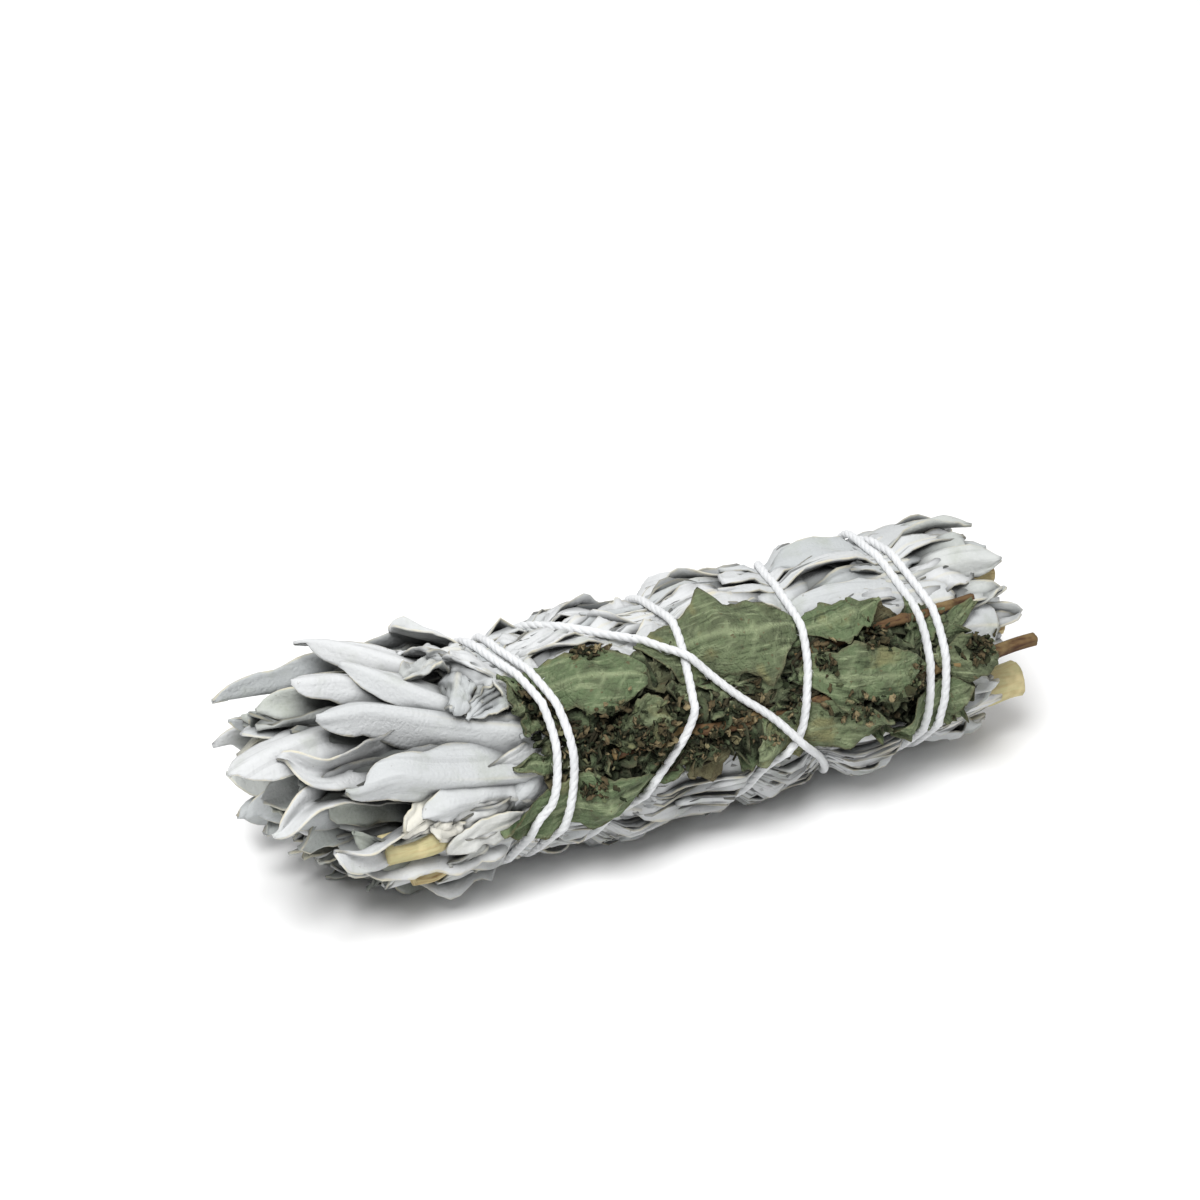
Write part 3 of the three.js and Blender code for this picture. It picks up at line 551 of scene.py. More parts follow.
def row_leaves(row, draw):
    """The leaves of one row, each from the next few random numbers, as in the part."""
    def vary(size):
        return (2 * draw() - 1) * size

    leaves = []
    for index in range(row["count"]):
        root_x = row["span"][0] + vary(ROOT_VARIES)
        tip_x = row["span"][1] + vary(LENGTH_VARIES)
        angle = mix(*row["arc"], index / row["count"]) + vary(ANGLE_VARIES)
        drift = vary(DRIFT)
        lift = vary(RADIUS_VARIES) + (index % 2) * OVERLAP_LIFT
        facing = max(0, math.cos(math.radians(angle + drift - TUCK_SIDE)))
        tuck = TUCK * facing**3 if row["span"][1] < TUCK_BEYOND else 0
        tip_r = row["radii"][2] + lift - tuck
        sway = vary(SWAY)
        width = row["width"] * (1 + vary(WIDTH_VARIES))
        fold = row["fold"] * (1 + vary(FOLD_VARIES)) * (-1 if draw() < RIDGED_SHARE else 1)
        leaves.append(dict(
            root=(root_x, angle, row["radii"][0]),
            tip=(slanted(tip_x, angle + drift, tip_r), angle + drift, tip_r),
            level=row["radii"][1] + lift - tuck / 2, sway=sway, width=width, fold=fold,
            roll=vary(row["roll"]), ends=row["ends"],
        ))
    return leaves


def slanted(tip_x, angle, radius):
    """Where a leaf tip ends: the sooner, the further it lies to the low front."""
    low = max(0, radius * math.cos(math.radians(angle - LOW_FRONT)))
    return max(tip_x, LEAF_END + END_SLANT * low)


def fan_leaves():
    """The leaves of the front fan, which sway to one side and the other by turns."""
    return [
        dict(
            leaf, level=leaf["root"][2] + FAN_LIFT, sway=-FAN_SWAY if i % 2 else FAN_SWAY,
            ends=FAN_ENDS, crumple=FAN_CRUMPLE, tone=FAN_TONE,
        )
        for i, leaf in enumerate(FAN_LEAVES)
    ]


def leaf_section(half, columns, fold, bow, curl):
    """How far each point across a leaf lies sideways and outward, from the bends of its two halves."""
    steps = columns // 2
    h = (np.arange(steps) + 0.5) / steps
    sides = []
    for side in (0, 1):
        bend = fold[:, None] * np.minimum(1, h / 0.18) + bow[side][:, None] * h + curl[side][:, None] * h**3
        y = np.cumsum(np.cos(bend), axis=1) * half[side][:, None] / steps
        z = np.cumsum(np.sin(bend), axis=1) * half[side][:, None] / steps
        sides.append((y, z))
    zero = np.zeros((len(fold), 1))
    y = np.concatenate([-sides[0][0][:, ::-1], zero, sides[1][0]], axis=1)
    z = np.concatenate([sides[0][1][:, ::-1], zero, sides[1][1]], axis=1)
    return y, z


def sage_blade(skin, leaf, rng, look, rows, columns):
    """One sage leaf, with its fold, its rolled and waved edges, its rib and its own tone."""
    (root_x, root_angle, root_r), (tip_x, tip_angle, tip_r) = leaf["root"], leaf["tip"]
    level, crumple = leaf["level"], leaf.get("crumple", 1.0)
    along = np.linspace(0, 1, rows + 1)
    x = mix(root_x, tip_x, along)
    rise = smoothstep(along, 0, 0.3)
    flare = smoothstep(along, 0.3, 1)
    end = smoothstep(along, 0.7, 1) ** 2
    hump = np.sin(np.pi * along)
    radius = mix(root_r, level, rise) + (tip_r - level) * flare - pinch(x) * rise
    radius = radius + leaf.get("hook", 0.0) * end
    angle = mix(root_angle, tip_angle, along) + leaf["sway"] * hump + leaf.get("veer", 0.0) * end
    spine = on_bundle(x, angle, radius)
    heading = unit(np.gradient(spine, axis=0))
    away = unit(spine * (0, 1, 1))
    sideways = unit(np.cross(heading, away))
    up = np.cross(sideways, heading)
    turn = np.radians(leaf["roll"]) * smoothstep(along, 0.1, 0.8)
    side = sideways * np.cos(turn)[:, None] + up * np.sin(turn)[:, None]
    face = up * np.cos(turn)[:, None] - sideways * np.sin(turn)[:, None]

    strap = leaf.get("strap", 0.0)
    halves = []
    root_round = np.sqrt(np.clip(1 - (np.clip(0.08 - along, 0, 1) / 0.08) ** 2, 0.03, 1))
    shorter = rng.integers(0, 2)
    for i in (0, 1):
        t = along / rng.uniform(0.9, 1.0) if i == shorter else along
        outline = root_round * mix(leaf_outline(t, *leaf["ends"]), strap_outline(t, leaf["ends"][0]), strap)
        ragged = 1 + 0.09 * wobble(rng, along, 9) + 0.05 * wobble(rng, along, 22)
        halves.append(leaf["width"] / 2 * outline * ragged)
    fold = np.radians(leaf["fold"]) * smoothstep(along, 0, 0.35) * (1 + 0.25 * wobble(rng, along, 4))
    bow = [np.radians(rng.uniform(-18, 18) * crumple) * hump for _ in (0, 1)]
    curl = []
    for _ in (0, 1):
        most = rng.uniform(look.roll_least, look.roll_most) * crumple
        curl.append(most * (0.35 + 0.65 * np.abs(wobble(rng, along, 5))))
    y, z = leaf_section(halves, columns, fold, bow, curl)
    across = np.linspace(-1, 1, columns + 1)[None, :]
    wrap = y**2 / (2 * radius[:, None] + 6)
    for sign in (-1, 1):
        on_side = np.clip(across * sign, 0, 1) ** 1.5
        z = z + on_side * wobble(rng, along, rng.integers(4, 9))[:, None] * 0.55 * crumple
    crease = np.sin(across * rng.uniform(4, 8) + along[:, None] * rng.uniform(-7, 7) + rng.uniform(0, 6))
    z = z + (0.5 - np.abs(crease)) * 0.3 * crumple * hump[:, None]
    middle = spine[:, None, :] + side[:, None, :] * y[..., None] + face[:, None, :] * (z - wrap)[..., None]
    middle = pull.draw_in(middle, SAGE_REST)
    thick = look.thickness / MM
    middle[..., 2] = np.maximum(middle[..., 2], -AXIS_HEIGHT + thick * 0.6)

    rib = np.exp(-((y / (look.rib_width / MM)) ** 2)) * (1 - 0.75 * along[:, None])
    thickness = thick * (1 - 0.45 * np.abs(across) ** 3) + look.rib_height / MM * rib
    run = math.dist(spine[0], spine[-1]) * along[:, None] + rng.uniform(0, 500)
    # The crease value sets how strongly painted shade lines run along the leaf.
    add_blade(
        skin, middle, thickness, edge=np.abs(across), rib=rib,
        tone=leaf.get("tone", 1.0) * rng.uniform(), across_mm=y, along_mm=run,
        **{name: leaf.get(name, 0.0) for name in ("green", "cream", "crease")},
    )


def small_leaf(rng, x, angle, length, width, level, heading, **more):
    """A shorter leaf pressed on the bundle, lying at an angle to its axis."""
    dx = length * math.cos(heading)
    turn = math.degrees(length * math.sin(heading) / level)
    leaf = dict(
        root=(x + dx / 2, angle - turn / 2, level - rng.uniform(0.6, 2.0)),
        tip=(x - dx / 2, angle + turn / 2, level + rng.uniform(-0.4, 0.9)),
        level=level, sway=rng.uniform(-4, 4), width=width, fold=rng.uniform(-30, 30),
        roll=rng.uniform(-22, 22), ends=(0.55, rng.uniform(0.15, 0.4)),
    )
    leaf.update(more)
    return leaf


def barrel_leaves(rng, count):
    """Short leaves and torn ends that fill the barrel, spread evenly about it."""
    leaves = []
    for i in range(count):
        x = mix(*BARREL, (i + rng.uniform()) / count)
        angle = i * GOLDEN_ANGLE + rng.uniform(-14, 14)
        narrow = 0.45 if 90 < angle % 360 < 170 else 1.0
        leaves.append(small_leaf(
            rng, x, angle, rng.uniform(9, 24), rng.uniform(3.5, 8.5) * narrow,
            SAGE_REST + rng.uniform(0, 1.6), rng.normal(0, 0.32) * narrow**2,
            crumple=rng.uniform(1.0, 2.4), strap=rng.uniform(0, 1),
        ))
    return leaves


def strip_leaves(rng, count):
    """Long rolled leaves that lie along the bundle, most of them low on its front."""
    leaves = []
    for i in range(count):
        angle = mix(92, 172, rng.uniform()) if i % 3 else rng.uniform(0, 360)
        leaves.append(small_leaf(
            rng, rng.uniform(-20, 32), angle, rng.uniform(20, 42), rng.uniform(2.0, 4.2),
            STRIP_LEVEL + rng.uniform(0, 1.4), rng.normal(0, 0.07), crumple=rng.uniform(0.6, 1.3), strap=1.0,
            # Crease 1.0 gives the strips strong painted shade lines along them.
            fold=rng.uniform(20, 62) * rng.choice([-1, 1]), crease=1.0, tone=0.8,
        ))
    return leaves


def loose_bits(rng):
    """The small torn leaves on the leaf end."""
    return [
        small_leaf(
            rng, x, angle, length, width, level, math.radians(heading), cream=cream, crumple=crumple,
            strap=rng.uniform(0.5, 1), fold=rng.uniform(-28, 14) * crumple,
            roll=rng.uniform(-12, 12) * crumple,
        )
        for x, angle, length, width, level, heading, crumple, cream in LOOSE_BITS
    ]


def tip_leaves(rng, count):
    """Leaf tips that fill the inside of the leaf end, and curl there."""
    leaves = []
    for i in range(count):
        radius = TIP_SPREAD * math.sqrt((i + 0.5) / count)
        angle = i * GOLDEN_ANGLE + rng.uniform(-10, 10)
        tip_x = slanted(-46 - rng.uniform(0, 11), angle, radius) + rng.uniform(0, 2)
        leaves.append(dict(
            root=(tip_x + rng.uniform(18, 26), angle, radius * 0.8),
            tip=(tip_x, angle + rng.uniform(-14, 14), radius),
            level=radius * 0.9, sway=rng.uniform(-6, 6), width=rng.uniform(4.5, 8.5),
            fold=rng.uniform(15, 55) * rng.choice([-1, 1]), roll=rng.uniform(-50, 50),
            ends=(0.5, rng.uniform(0.25, 0.5)), hook=rng.uniform(-2.5, 2.0), veer=rng.uniform(-9, 9),
            crumple=rng.uniform(0.9, 2.0), strap=rng.uniform(0.6, 1), green=rng.uniform(0, 1) ** 1.2,
        ))
    return leaves


def by_fat_stem(angle):
    """Whether an angle about the bundle lies beside its fattest stem."""
    return abs((angle - SAGE_STEMS[0][2] + 180) % 360 - 180) < FAT_STEM_SIDE


def butt_leaves(rng, count):
    """Leaf ends and petioles that stand out round the cut stems."""
    leaves = []
    for i in range(count):
        radius = BUTT_SPREAD * math.sqrt((i + 0.8) / count)
        angle = i * GOLDEN_ANGLE + rng.uniform(-10, 10)
        tip_x = 48.5 + rng.uniform(0, 5.5)
        if radius > 7 and by_fat_stem(angle):
            tip_x = min(tip_x, BUTT_STOP)
        leaves.append(dict(
            root=(rng.uniform(26, 34), angle, radius),
            tip=(tip_x, angle + rng.uniform(-9, 9), radius + rng.uniform(-0.8, 1.4)),
            level=radius + 0.2, sway=rng.uniform(-5, 5), width=rng.uniform(4.0, 7.5),
            fold=rng.uniform(15, 50) * rng.choice([-1, 1]), roll=rng.uniform(-45, 45),
            ends=(0.7, rng.uniform(0.45, 0.75)), hook=rng.uniform(-0.9, 0.9), veer=rng.uniform(-3, 3),
            crumple=rng.uniform(0.8, 1.7), strap=1.0, green=rng.uniform(0, 0.5),
        ))
    return leaves


# Shading

class Shade:
    """One output of a shader node, on which numbers are worked out with Python's own signs."""

    def __init__(self, graph, socket):
        self.graph, self.socket = graph, socket

    def _math(self, operation, first, second):
        return self.graph.add("ShaderNodeMath", {"operation": operation}, {0: first, 1: second})

    def __add__(self, other):
        return self._math("ADD", self, other)

    def __radd__(self, other):
        return self._math("ADD", other, self)

    def __sub__(self, other):
        return self._math("SUBTRACT", self, other)

    def __rsub__(self, other):
        return self._math("SUBTRACT", other, self)

    def __mul__(self, other):
        return self._math("MULTIPLY", self, other)

    def __rmul__(self, other):
        return self._math("MULTIPLY", other, self)


class Graph:
    """The nodes of one material."""

    def __init__(self, name):
        self.material = bpy.data.materials.new(name)
        self.material.use_nodes = True
        self.tree = self.material.node_tree
        self.shader = self.tree.nodes["Principled BSDF"]

    def add(self, kind, settings=None, sockets=None, out=0):
        """A node of a type, with its settings and then the values or links of its sockets."""
        node = self.tree.nodes.new(kind)
        for name, value in (settings or {}).items():
            setattr(node, name, value)
        self.feed(node, sockets or {})
        return Shade(self, node.outputs[out])

    def feed(self, node, sockets):
        for name, value in sockets.items():
            if isinstance(value, Shade):
                self.tree.links.new(value.socket, node.inputs[name])
            else:
                node.inputs[name].default_value = value

    def finish(self, **sockets):
        """Feeds the shader, whose sockets are named with _ for a space."""
        self.feed(self.shader, {name.replace("_", " "): value for name, value in sockets.items()})
        return self.material

    def value(self, name):
        return self.add("ShaderNodeAttribute", {"attribute_name": name}, out="Fac")

    def place(self):
        return self.add("ShaderNodeTexCoord", out="Object")

    def noise(self, size_mm, detail=3.0, vector=None, roughness=0.55):
        return self.add("ShaderNodeTexNoise", {}, {
            "Vector": vector or self.place(), "Scale": 1 / (size_mm * MM),
            "Detail": detail, "Roughness": roughness,
        })

    def grain(self, stretch):
        """Places on a blade, drawn out along it."""
        return self.add("ShaderNodeCombineXYZ", {}, {
            0: self.value("across_mm") * MM,
            1: self.value("along_mm") * (stretch * MM),
            2: self.value("tone"),
        })

    def cells(self, size_mm):
        """How far each point lies from the edges of small cells."""
        return self.add("ShaderNodeTexVoronoi", {"feature": "DISTANCE_TO_EDGE"}, {
            "Vector": self.place(), "Scale": 1 / (size_mm * MM),
        })

    def ramp(self, value, low, high):
        """0 below low, 1 above high, smooth between."""
        return self.add("ShaderNodeMapRange", {"interpolation_type": "SMOOTHSTEP"}, {
            "Value": value, "From Min": low, "From Max": high,
        })

    def blend(self, share, first, second):
        """A mix of two colours."""
        return self.add("ShaderNodeMix", {"data_type": "RGBA"}, {0: share, 6: first, 7: second}, out=2)

    def bump(self, height, depth_mm, strength=1.0):
        return self.add("ShaderNodeBump", {}, {
            "Height": height, "Distance": depth_mm * MM, "Strength": strength,
        })


def rgba(colour):
    return (*colour, 1.0)


def sage_material(look):
    g = Graph("sage_felt")
    tone, edge, rib, free = (g.value(n) for n in ("tone", "edge", "rib", "open"))
    green, cream = g.value("green"), g.value("cream")
    wrinkle = g.noise(1.1, 4, g.grain(0.14))
    mottle = g.noise(5.0, 4)
    fine = g.noise(0.35, 4, roughness=0.7)
    felt = g.blend(g.ramp(tone, 0.1, 0.95), rgba(look.pale), rgba(look.grey))
    felt = g.blend(g.ramp(mottle, 0.5, 0.75) * 0.45, felt, rgba(look.green))
    felt = g.blend(green * 0.75, felt, rgba(look.green))
    felt = g.blend(cream * 0.8, felt, rgba(look.cream))
    felt = g.blend(g.ramp(tone, 0.92, 0.98) * 0.4, felt, rgba(look.cream))
    felt = g.blend(g.ramp(fine, 0.35, 0.7) * 0.16, felt, rgba(look.pale))
    felt = g.blend(g.ramp(wrinkle, 0.55, 0.75) * 0.35, felt, rgba(look.grey))
    # Painted shade: thin near-black lines along the leaf grain, faint on every leaf and strong on the strips,
    # standing in for shadows in creases and between strips.
    painted_crease_shade = g.ramp(g.noise(0.8, 3, g.grain(0.05)), 0.56, 0.66)
    felt = g.blend(painted_crease_shade * (0.12 + g.value("crease") * 0.6), felt, rgba(look.shade))
    worn = g.ramp(edge + g.noise(2.2, 3) * 0.3, 1.08, 1.2)
    felt = g.blend(worn * 0.7, felt, rgba(look.cream))
    felt = g.blend(g.ramp(rib, 0.4, 0.95) * 0.4, felt, rgba(look.cream))
    specks = g.ramp(g.noise(0.9, 2), 0.72, 0.77)
    felt = g.blend(specks * 0.4, felt, rgba(look.speck))
    # Painted shade: the felt turns towards the near-black shade colour where few of a point's rays get out
    # between the leaves.
    felt = g.blend((1 - g.ramp(free, 0.05, 0.8)) * 0.92, felt, rgba(look.shade))
    height = g.ramp(g.cells(0.9), 0.0, 0.35) * 0.4 + fine * 0.8 + mottle * 0.6 + wrinkle * 1.5
    return g.finish(
        Base_Color=felt, Roughness=0.84 + fine * 0.12, Normal=g.bump(height, 0.14, 0.6),
        Sheen_Weight=0.15, Sheen_Roughness=0.45, Specular_IOR_Level=0.18,
    )


def heart_painted_shade_material(look):
    g = Graph("sage_heart_painted_shade")
    mottle = g.noise(3.0, 4)
    # Painted shade: the heart is near black, mottled with the painted shade felt, so that the gaps between
    # the leaves read dark.
    colour = g.blend(mottle, rgba(look.heart), rgba(look.shade))
    return g.finish(Base_Color=colour, Roughness=0.95, Normal=g.bump(mottle, 0.8), Specular_IOR_Level=0.1)


def stem_material(name, bark, cut, streak):
    g = Graph(name)
    stretched_place = g.add("ShaderNodeMapping", {}, {"Vector": g.place(), "Scale": (0.12, 1.0, 1.0)})
    fibre = g.noise(0.5, 4, stretched_place)
    patches = g.noise(5.0, 3)
    pith = g.noise(0.4, 3)
    colour = g.blend(g.ramp(fibre, 0.38, 0.66), rgba(bark), rgba(streak))
    colour = g.blend(g.ramp(patches, 0.45, 0.62) * 0.75, colour, rgba(cut))
    face = g.blend(g.ramp(pith, 0.4, 0.7) * 0.45, rgba(cut), rgba(streak))
    colour = g.blend(g.value("cut"), colour, face)
    return g.finish(
        Base_Color=colour, Roughness=0.8 + fibre * 0.15, Normal=g.bump(fibre + pith * 0.4, 0.2, 0.7),
        Specular_IOR_Level=0.2,
    )


def mint_material(look):
    g = Graph("mint_dry_leaf")
    tone, edge, vein, under, free = (g.value(n) for n in ("tone", "edge", "vein", "under", "open"))
    mottle = g.noise(2.6, 5, roughness=0.65)
    fine = g.noise(0.3, 4, roughness=0.7)
    streak = g.noise(0.55, 4, g.grain(0.12))
    leaf = g.blend(g.ramp(tone + mottle * 0.6 - 0.3, 0.1, 0.9), rgba(look.green), rgba(look.olive))
    leaf = g.blend(g.ramp(mottle + tone * 0.12, 0.48, 0.68) * 0.85, leaf, rgba(look.dark))
    leaf = g.blend(g.ramp(g.noise(6.0, 3), 0.57, 0.70) * 0.6, leaf, rgba(look.dry))
    leaf = g.blend(g.ramp(edge + mottle * 0.4, 1.02, 1.25) * 0.7, leaf, rgba(look.brown))
    leaf = g.blend(under * 0.35, leaf, rgba(look.back))
    leaf = g.blend(g.ramp(streak, 0.54, 0.70) * 0.6, leaf, rgba(look.vein))
    leaf = g.blend(g.ramp(0.5 - streak, 0.04, 0.2) * 0.75, leaf, rgba(look.dark))
    leaf = g.blend(vein * 0.75, leaf, rgba(look.vein))
    leaf = g.blend(g.ramp(fine, 0.4, 0.75) * 0.3, leaf, rgba(look.olive))
    leaf = g.blend(g.ramp(g.noise(0.8, 2), 0.66, 0.72) * 0.7, leaf, rgba(look.brown))
    leaf = g.blend(g.ramp(tone, 0.92, 0.99) * 0.7, leaf, rgba(look.brown))
    # Painted shade: towards near black where few of a point's rays get out past the other pieces.
    leaf = g.blend((1 - g.ramp(free, 0.0, 0.65)) * 0.85, leaf, rgba(look.deep))
    height = g.ramp(g.cells(0.8), 0.0, 0.3) * 0.5 + fine * 0.7 + mottle + streak * 1.2
    return g.finish(
        Base_Color=leaf, Roughness=0.72 + fine * 0.2, Normal=g.bump(height, 0.24, 0.9),
        Specular_IOR_Level=0.25,
    )


def crumb_material(look):
    g = Graph("mint_crumb")
    tone = g.value("tone")
    fine = g.noise(0.35, 4)
    husk = g.blend(g.ramp(tone, 0.1, 0.6), rgba(look.dark), rgba(look.brown))
    husk = g.blend(g.ramp(tone, 0.55, 0.75), husk, rgba(look.husk))
    husk = g.blend(g.ramp(tone, 0.78, 0.86), husk, rgba(look.olive))
    husk = g.blend(g.ramp(fine, 0.45, 0.7) * 0.6, husk, rgba(look.dark))
    # Painted shade: the crumbs turn towards near black where few of their rays get out past the other pieces.
    husk = g.blend((1 - g.ramp(g.value("open"), 0.0, 0.55)) * 0.8, husk, rgba(look.deep))
    return g.finish(Base_Color=husk, Roughness=0.85, Normal=g.bump(fine, 0.15), Specular_IOR_Level=0.2)


def string_material(look):
    g = Graph("cotton_twist")
    fine = g.noise(0.25, 4, roughness=0.7)
    patches = g.noise(2.5, 3)
    cotton = g.blend(g.ramp(patches, 0.35, 0.75) * 0.5, rgba(look.white), rgba(look.shade))
    return g.finish(
        Base_Color=cotton, Roughness=0.86 + fine * 0.1, Normal=g.bump(fine, 0.1, 0.6),
        Sheen_Weight=0.3, Sheen_Roughness=0.5, Specular_IOR_Level=0.2,
    )


# Mint

def stretched(least, slack):
    """Heights that stay above the least ones given and don't dip between them, as a taut sheet does."""
    heights = least.copy()
    for _ in range(60):
        padded = np.pad(heights, 1, mode="edge")
        level = (padded[:-2, 1:-1] + padded[2:, 1:-1] + padded[1:-1, :-2] + padded[1:-1, 2:]) / 4
        heights = np.maximum(least, level - slack)
    return heights


def mint_blade(skin, base, tip, half_width, rng, look, crumple, tone, rows=40, columns=16):
    """One dried mint leaf laid on what is there: toothed edge, sunk veins, crumpled blade."""
    arc = math.radians(1) * AXIS_HEIGHT
    run = np.array([tip[0] - base[0], (tip[1] - base[1]) * arc])
    length = np.linalg.norm(run)
    sideways = np.array([-run[1], run[0]]) / length
    along = np.linspace(0, 1, rows + 1)[:, None]
    across = np.linspace(-1, 1, columns + 1)[None, :]
    teeth = max(5, round(length / (look.tooth_length / MM)))
    edge = np.abs(across)
    bite = 1 - look.tooth_depth * ((along * teeth) % 1.0) * edge**4
    outer = []
    for _ in (0, 1):
        outline = leaf_outline(along / rng.uniform(0.92, 1.0), 0.25, 0.12)
        outer.append(outline * (1 + 0.22 * crumple * wobble(rng, along, 8)))
    reach = half_width * np.where(across < 0, outer[0], outer[1]) * across * bite
    bend = 0.9 * wobble(rng, along, 3)
    x = base[0] + run[0] * along + sideways[0] * (reach + bend)
    angle = base[1] + (run[1] * along + sideways[1] * (reach + bend)) / arc
    least = np.array([
        [relief.highest(x[i, j], angle[i, j], 0.4) for j in range(columns + 1)]
        for i in range(rows + 1)
    ])
    height = stretched(least, look.slack / MM)
    phase = np.abs((along * look.vein_pairs - edge * 0.9) % 1.0 - 0.5) * 2
    side_veins = smoothstep(phase, 0.80, 0.97) * (1 - edge) * smoothstep(edge, 0.0, 0.08)
    vein = np.maximum(np.exp(-((reach / 0.3) ** 2)) * (1 - 0.5 * along), side_veins * 0.8)
    folds = np.zeros_like(height)
    for size in (1.0, 0.7, 0.5):
        slope = along * rng.uniform(4, 9) / size + across * rng.uniform(-4, 4) / size + rng.uniform(0, 6)
        folds = folds + (1 - np.abs(np.sin(slope))) * size
    lifted = [np.clip(wobble(rng, along, 6) + 0.2, 0, 1) for _ in (0, 1)]
    edge_lift = edge**3 * np.where(across < 0, lifted[0], lifted[1]) * look.edge_lift / MM
    tip_lift = smoothstep(along, 0.8, 1) * rng.uniform(-0.1, 0.8)
    height = height + 0.2 + (folds * 0.30 + edge_lift + tip_lift) * crumple - vein * 0.14
    middle = pull.draw_in(on_bundle(x, angle, height), MINT_REST)
    thickness = look.thickness / MM * (1 - 0.5 * edge**3) + 0.22 * np.exp(-((reach / 0.4) ** 2))
    add_blade(
        skin, middle, thickness, edge=edge, vein=vein, tone=tone,
        across_mm=reach, along_mm=along * length + rng.uniform(0, 300),
    )


def scrap(skin, x, angle, rng, look, length, half_width):
    """A torn, crumpled piece of a mint leaf."""
    heading = rng.uniform(-1.2, 1.2)
    dx = length / 2 * math.cos(heading)
    turn = math.degrees(length / 2 * math.sin(heading) / AXIS_HEIGHT)
    mint_blade(
        skin, (x + dx, angle - turn), (x - dx, angle + turn), half_width, rng, look,
        crumple=rng.uniform(1.3, 2.6), tone=rng.uniform(0.1, 1.0), rows=16, columns=8,
    )


def crumb(skin, centre, rng, size):
    """A crumb of a dried flower: a small bent and ragged flake."""
    axes = rng.normal(size=(3, 3))
    ahead = unit(axes[0])
    aside = unit(np.cross(ahead, axes[1]))
    up = np.cross(ahead, aside)
    u = np.linspace(-1, 1, 5)[:, None]
    v = np.linspace(-1, 1, 4)[None, :]
    width = rng.uniform(0.4, 0.9) * (1 - 0.6 * u**2)
    lift = rng.uniform(-0.5, 0.5) * u**2 + rng.uniform(0.3, 0.9) * v**2 * width
    flake = u[..., None] * ahead + (v * width)[..., None] * aside + (lift * np.ones_like(v))[..., None] * up
    middle = centre + size * flake
    middle = middle + rng.normal(0, CRUMB_RAGGED * size, middle.shape)
    add_blade(skin, middle, np.full(middle.shape[:2], CRUMB_THICKNESS), tone=rng.uniform())


def sprig_angle(x):
    """The angle about the bundle at which the sprig lies at a place along it."""
    return np.interp(x, SPRIG_XS, SPRIG_ANGLES)


def lay_route(route, radius, count, rest=CRUMB_REST):
    """Points of a route that lies on what is on the bundle, smooth along its length."""
    flat = spline([(x, math.radians(angle) * AXIS_HEIGHT) for x, angle in route], count)
    angles = np.degrees(flat[:, 1] / AXIS_HEIGHT)
    least = np.array([relief.height(x, a) for x, a in zip(flat[:, 0], angles)])
    heights = least.copy()
    for _ in range(200):
        level = (np.roll(heights, 1) + np.roll(heights, -1)) / 2
        level[0], level[-1] = heights[1], heights[-2]
        heights = np.maximum(np.minimum(least, HIGHEST_BED), level - 0.01)
    return pull.draw_in(on_bundle(flat[:, 0], angles, heights + radius * 0.6), rest)


# String

def string_line(sample):
    """The string's middle line: taut on what it lies on, over its own earlier turns where it crosses them."""
    half = STRING_DIAMETER / 2
    xs, angles = string_route(sample)
    on_leaves = np.array([relief.height(x, a) for x, a in zip(xs, angles)]) + half * 0.75
    slack = sample**2 / (2 * AXIS_HEIGHT)

    def tauten(least):
        radii = least.copy()
        for _ in range(900):
            radii[1:-1] = np.maximum(least[1:-1], (radii[:-2] + radii[2:]) / 2 - slack)
        return radii

    radii = tauten(on_leaves)
    apart = int(4 * STRING_DIAMETER / sample)
    reach = 1.05 * STRING_DIAMETER
    for _ in range(3):
        least = on_leaves.copy()
        for i in range(apart, len(xs)):
            turn = (angles[i] - angles[: i - apart] + 180) % 360 - 180
            gap = np.hypot(xs[i] - xs[: i - apart], np.radians(turn) * AXIS_HEIGHT)
            near = np.where(gap < reach)[0]
            if len(near):
                rise = np.sqrt(1 - (gap[near] / reach) ** 2) * STRING_DIAMETER
                least[i] = max(least[i], float(np.max(radii[near] + rise)))
        radii = tauten(least)
    line = on_bundle(xs, angles, radii)
    line[:, 2] = np.maximum(line[:, 2], -AXIS_HEIGHT + half)
    return line


def add_string(skin, line, look, sides=8):
    """Yarns twisted about a line."""
    run = np.concatenate([[0], np.cumsum(np.linalg.norm(np.diff(line, axis=0), axis=1))])
    heading = unit(np.gradient(line, axis=0))
    side = unit(np.cross(heading, unit(line * (0, 1, 1))))
    other = np.cross(heading, side)
    yarn = STRING_DIAMETER * 0.325
    offset = STRING_DIAMETER * 0.46 - yarn
    for ply in range(look.plies):
        turn = 2 * np.pi * (run / (look.lay / MM) + ply / look.plies)
        spiral = side * np.cos(turn)[:, None] + other * np.sin(turn)[:, None]
        add_tube(skin, line + spiral * offset, yarn, sides)


def add_fibres(skin, line, count, rng):
    """Loose cotton fibres that stand off the string."""
    for _ in range(count):
        i = rng.integers(2, len(line) - 2)
        ahead = unit(line[i + 1] - line[i - 1])
        off = unit(np.cross(ahead, rng.normal(size=3)))
        start = line[i] + off * STRING_DIAMETER * 0.4
        steps = np.linspace(0, 1, 4)[:, None]
        reach = rng.uniform(0.4, 1.2)
        fibre = start + off * 0.35 * reach * steps + ahead * rng.uniform(-1, 1) * reach * steps**1.5
        fibre[:, 2] = np.maximum(fibre[:, 2], -AXIS_HEIGHT + 0.05)
        add_tube(skin, fibre, 0.022, 3)


# Settings

def length(name, description, millimetres):
    return FloatProperty(
        name=name, description=description, default=millimetres * MM, unit="LENGTH", precision=5,
    )


def colour(name, description, *values):
    return FloatVectorProperty(
        name=name, description=description, default=values, subtype="COLOR", min=0, max=1,
    )


def number(name, description, value):
    return IntProperty(name=name, description=description, default=value, min=0)


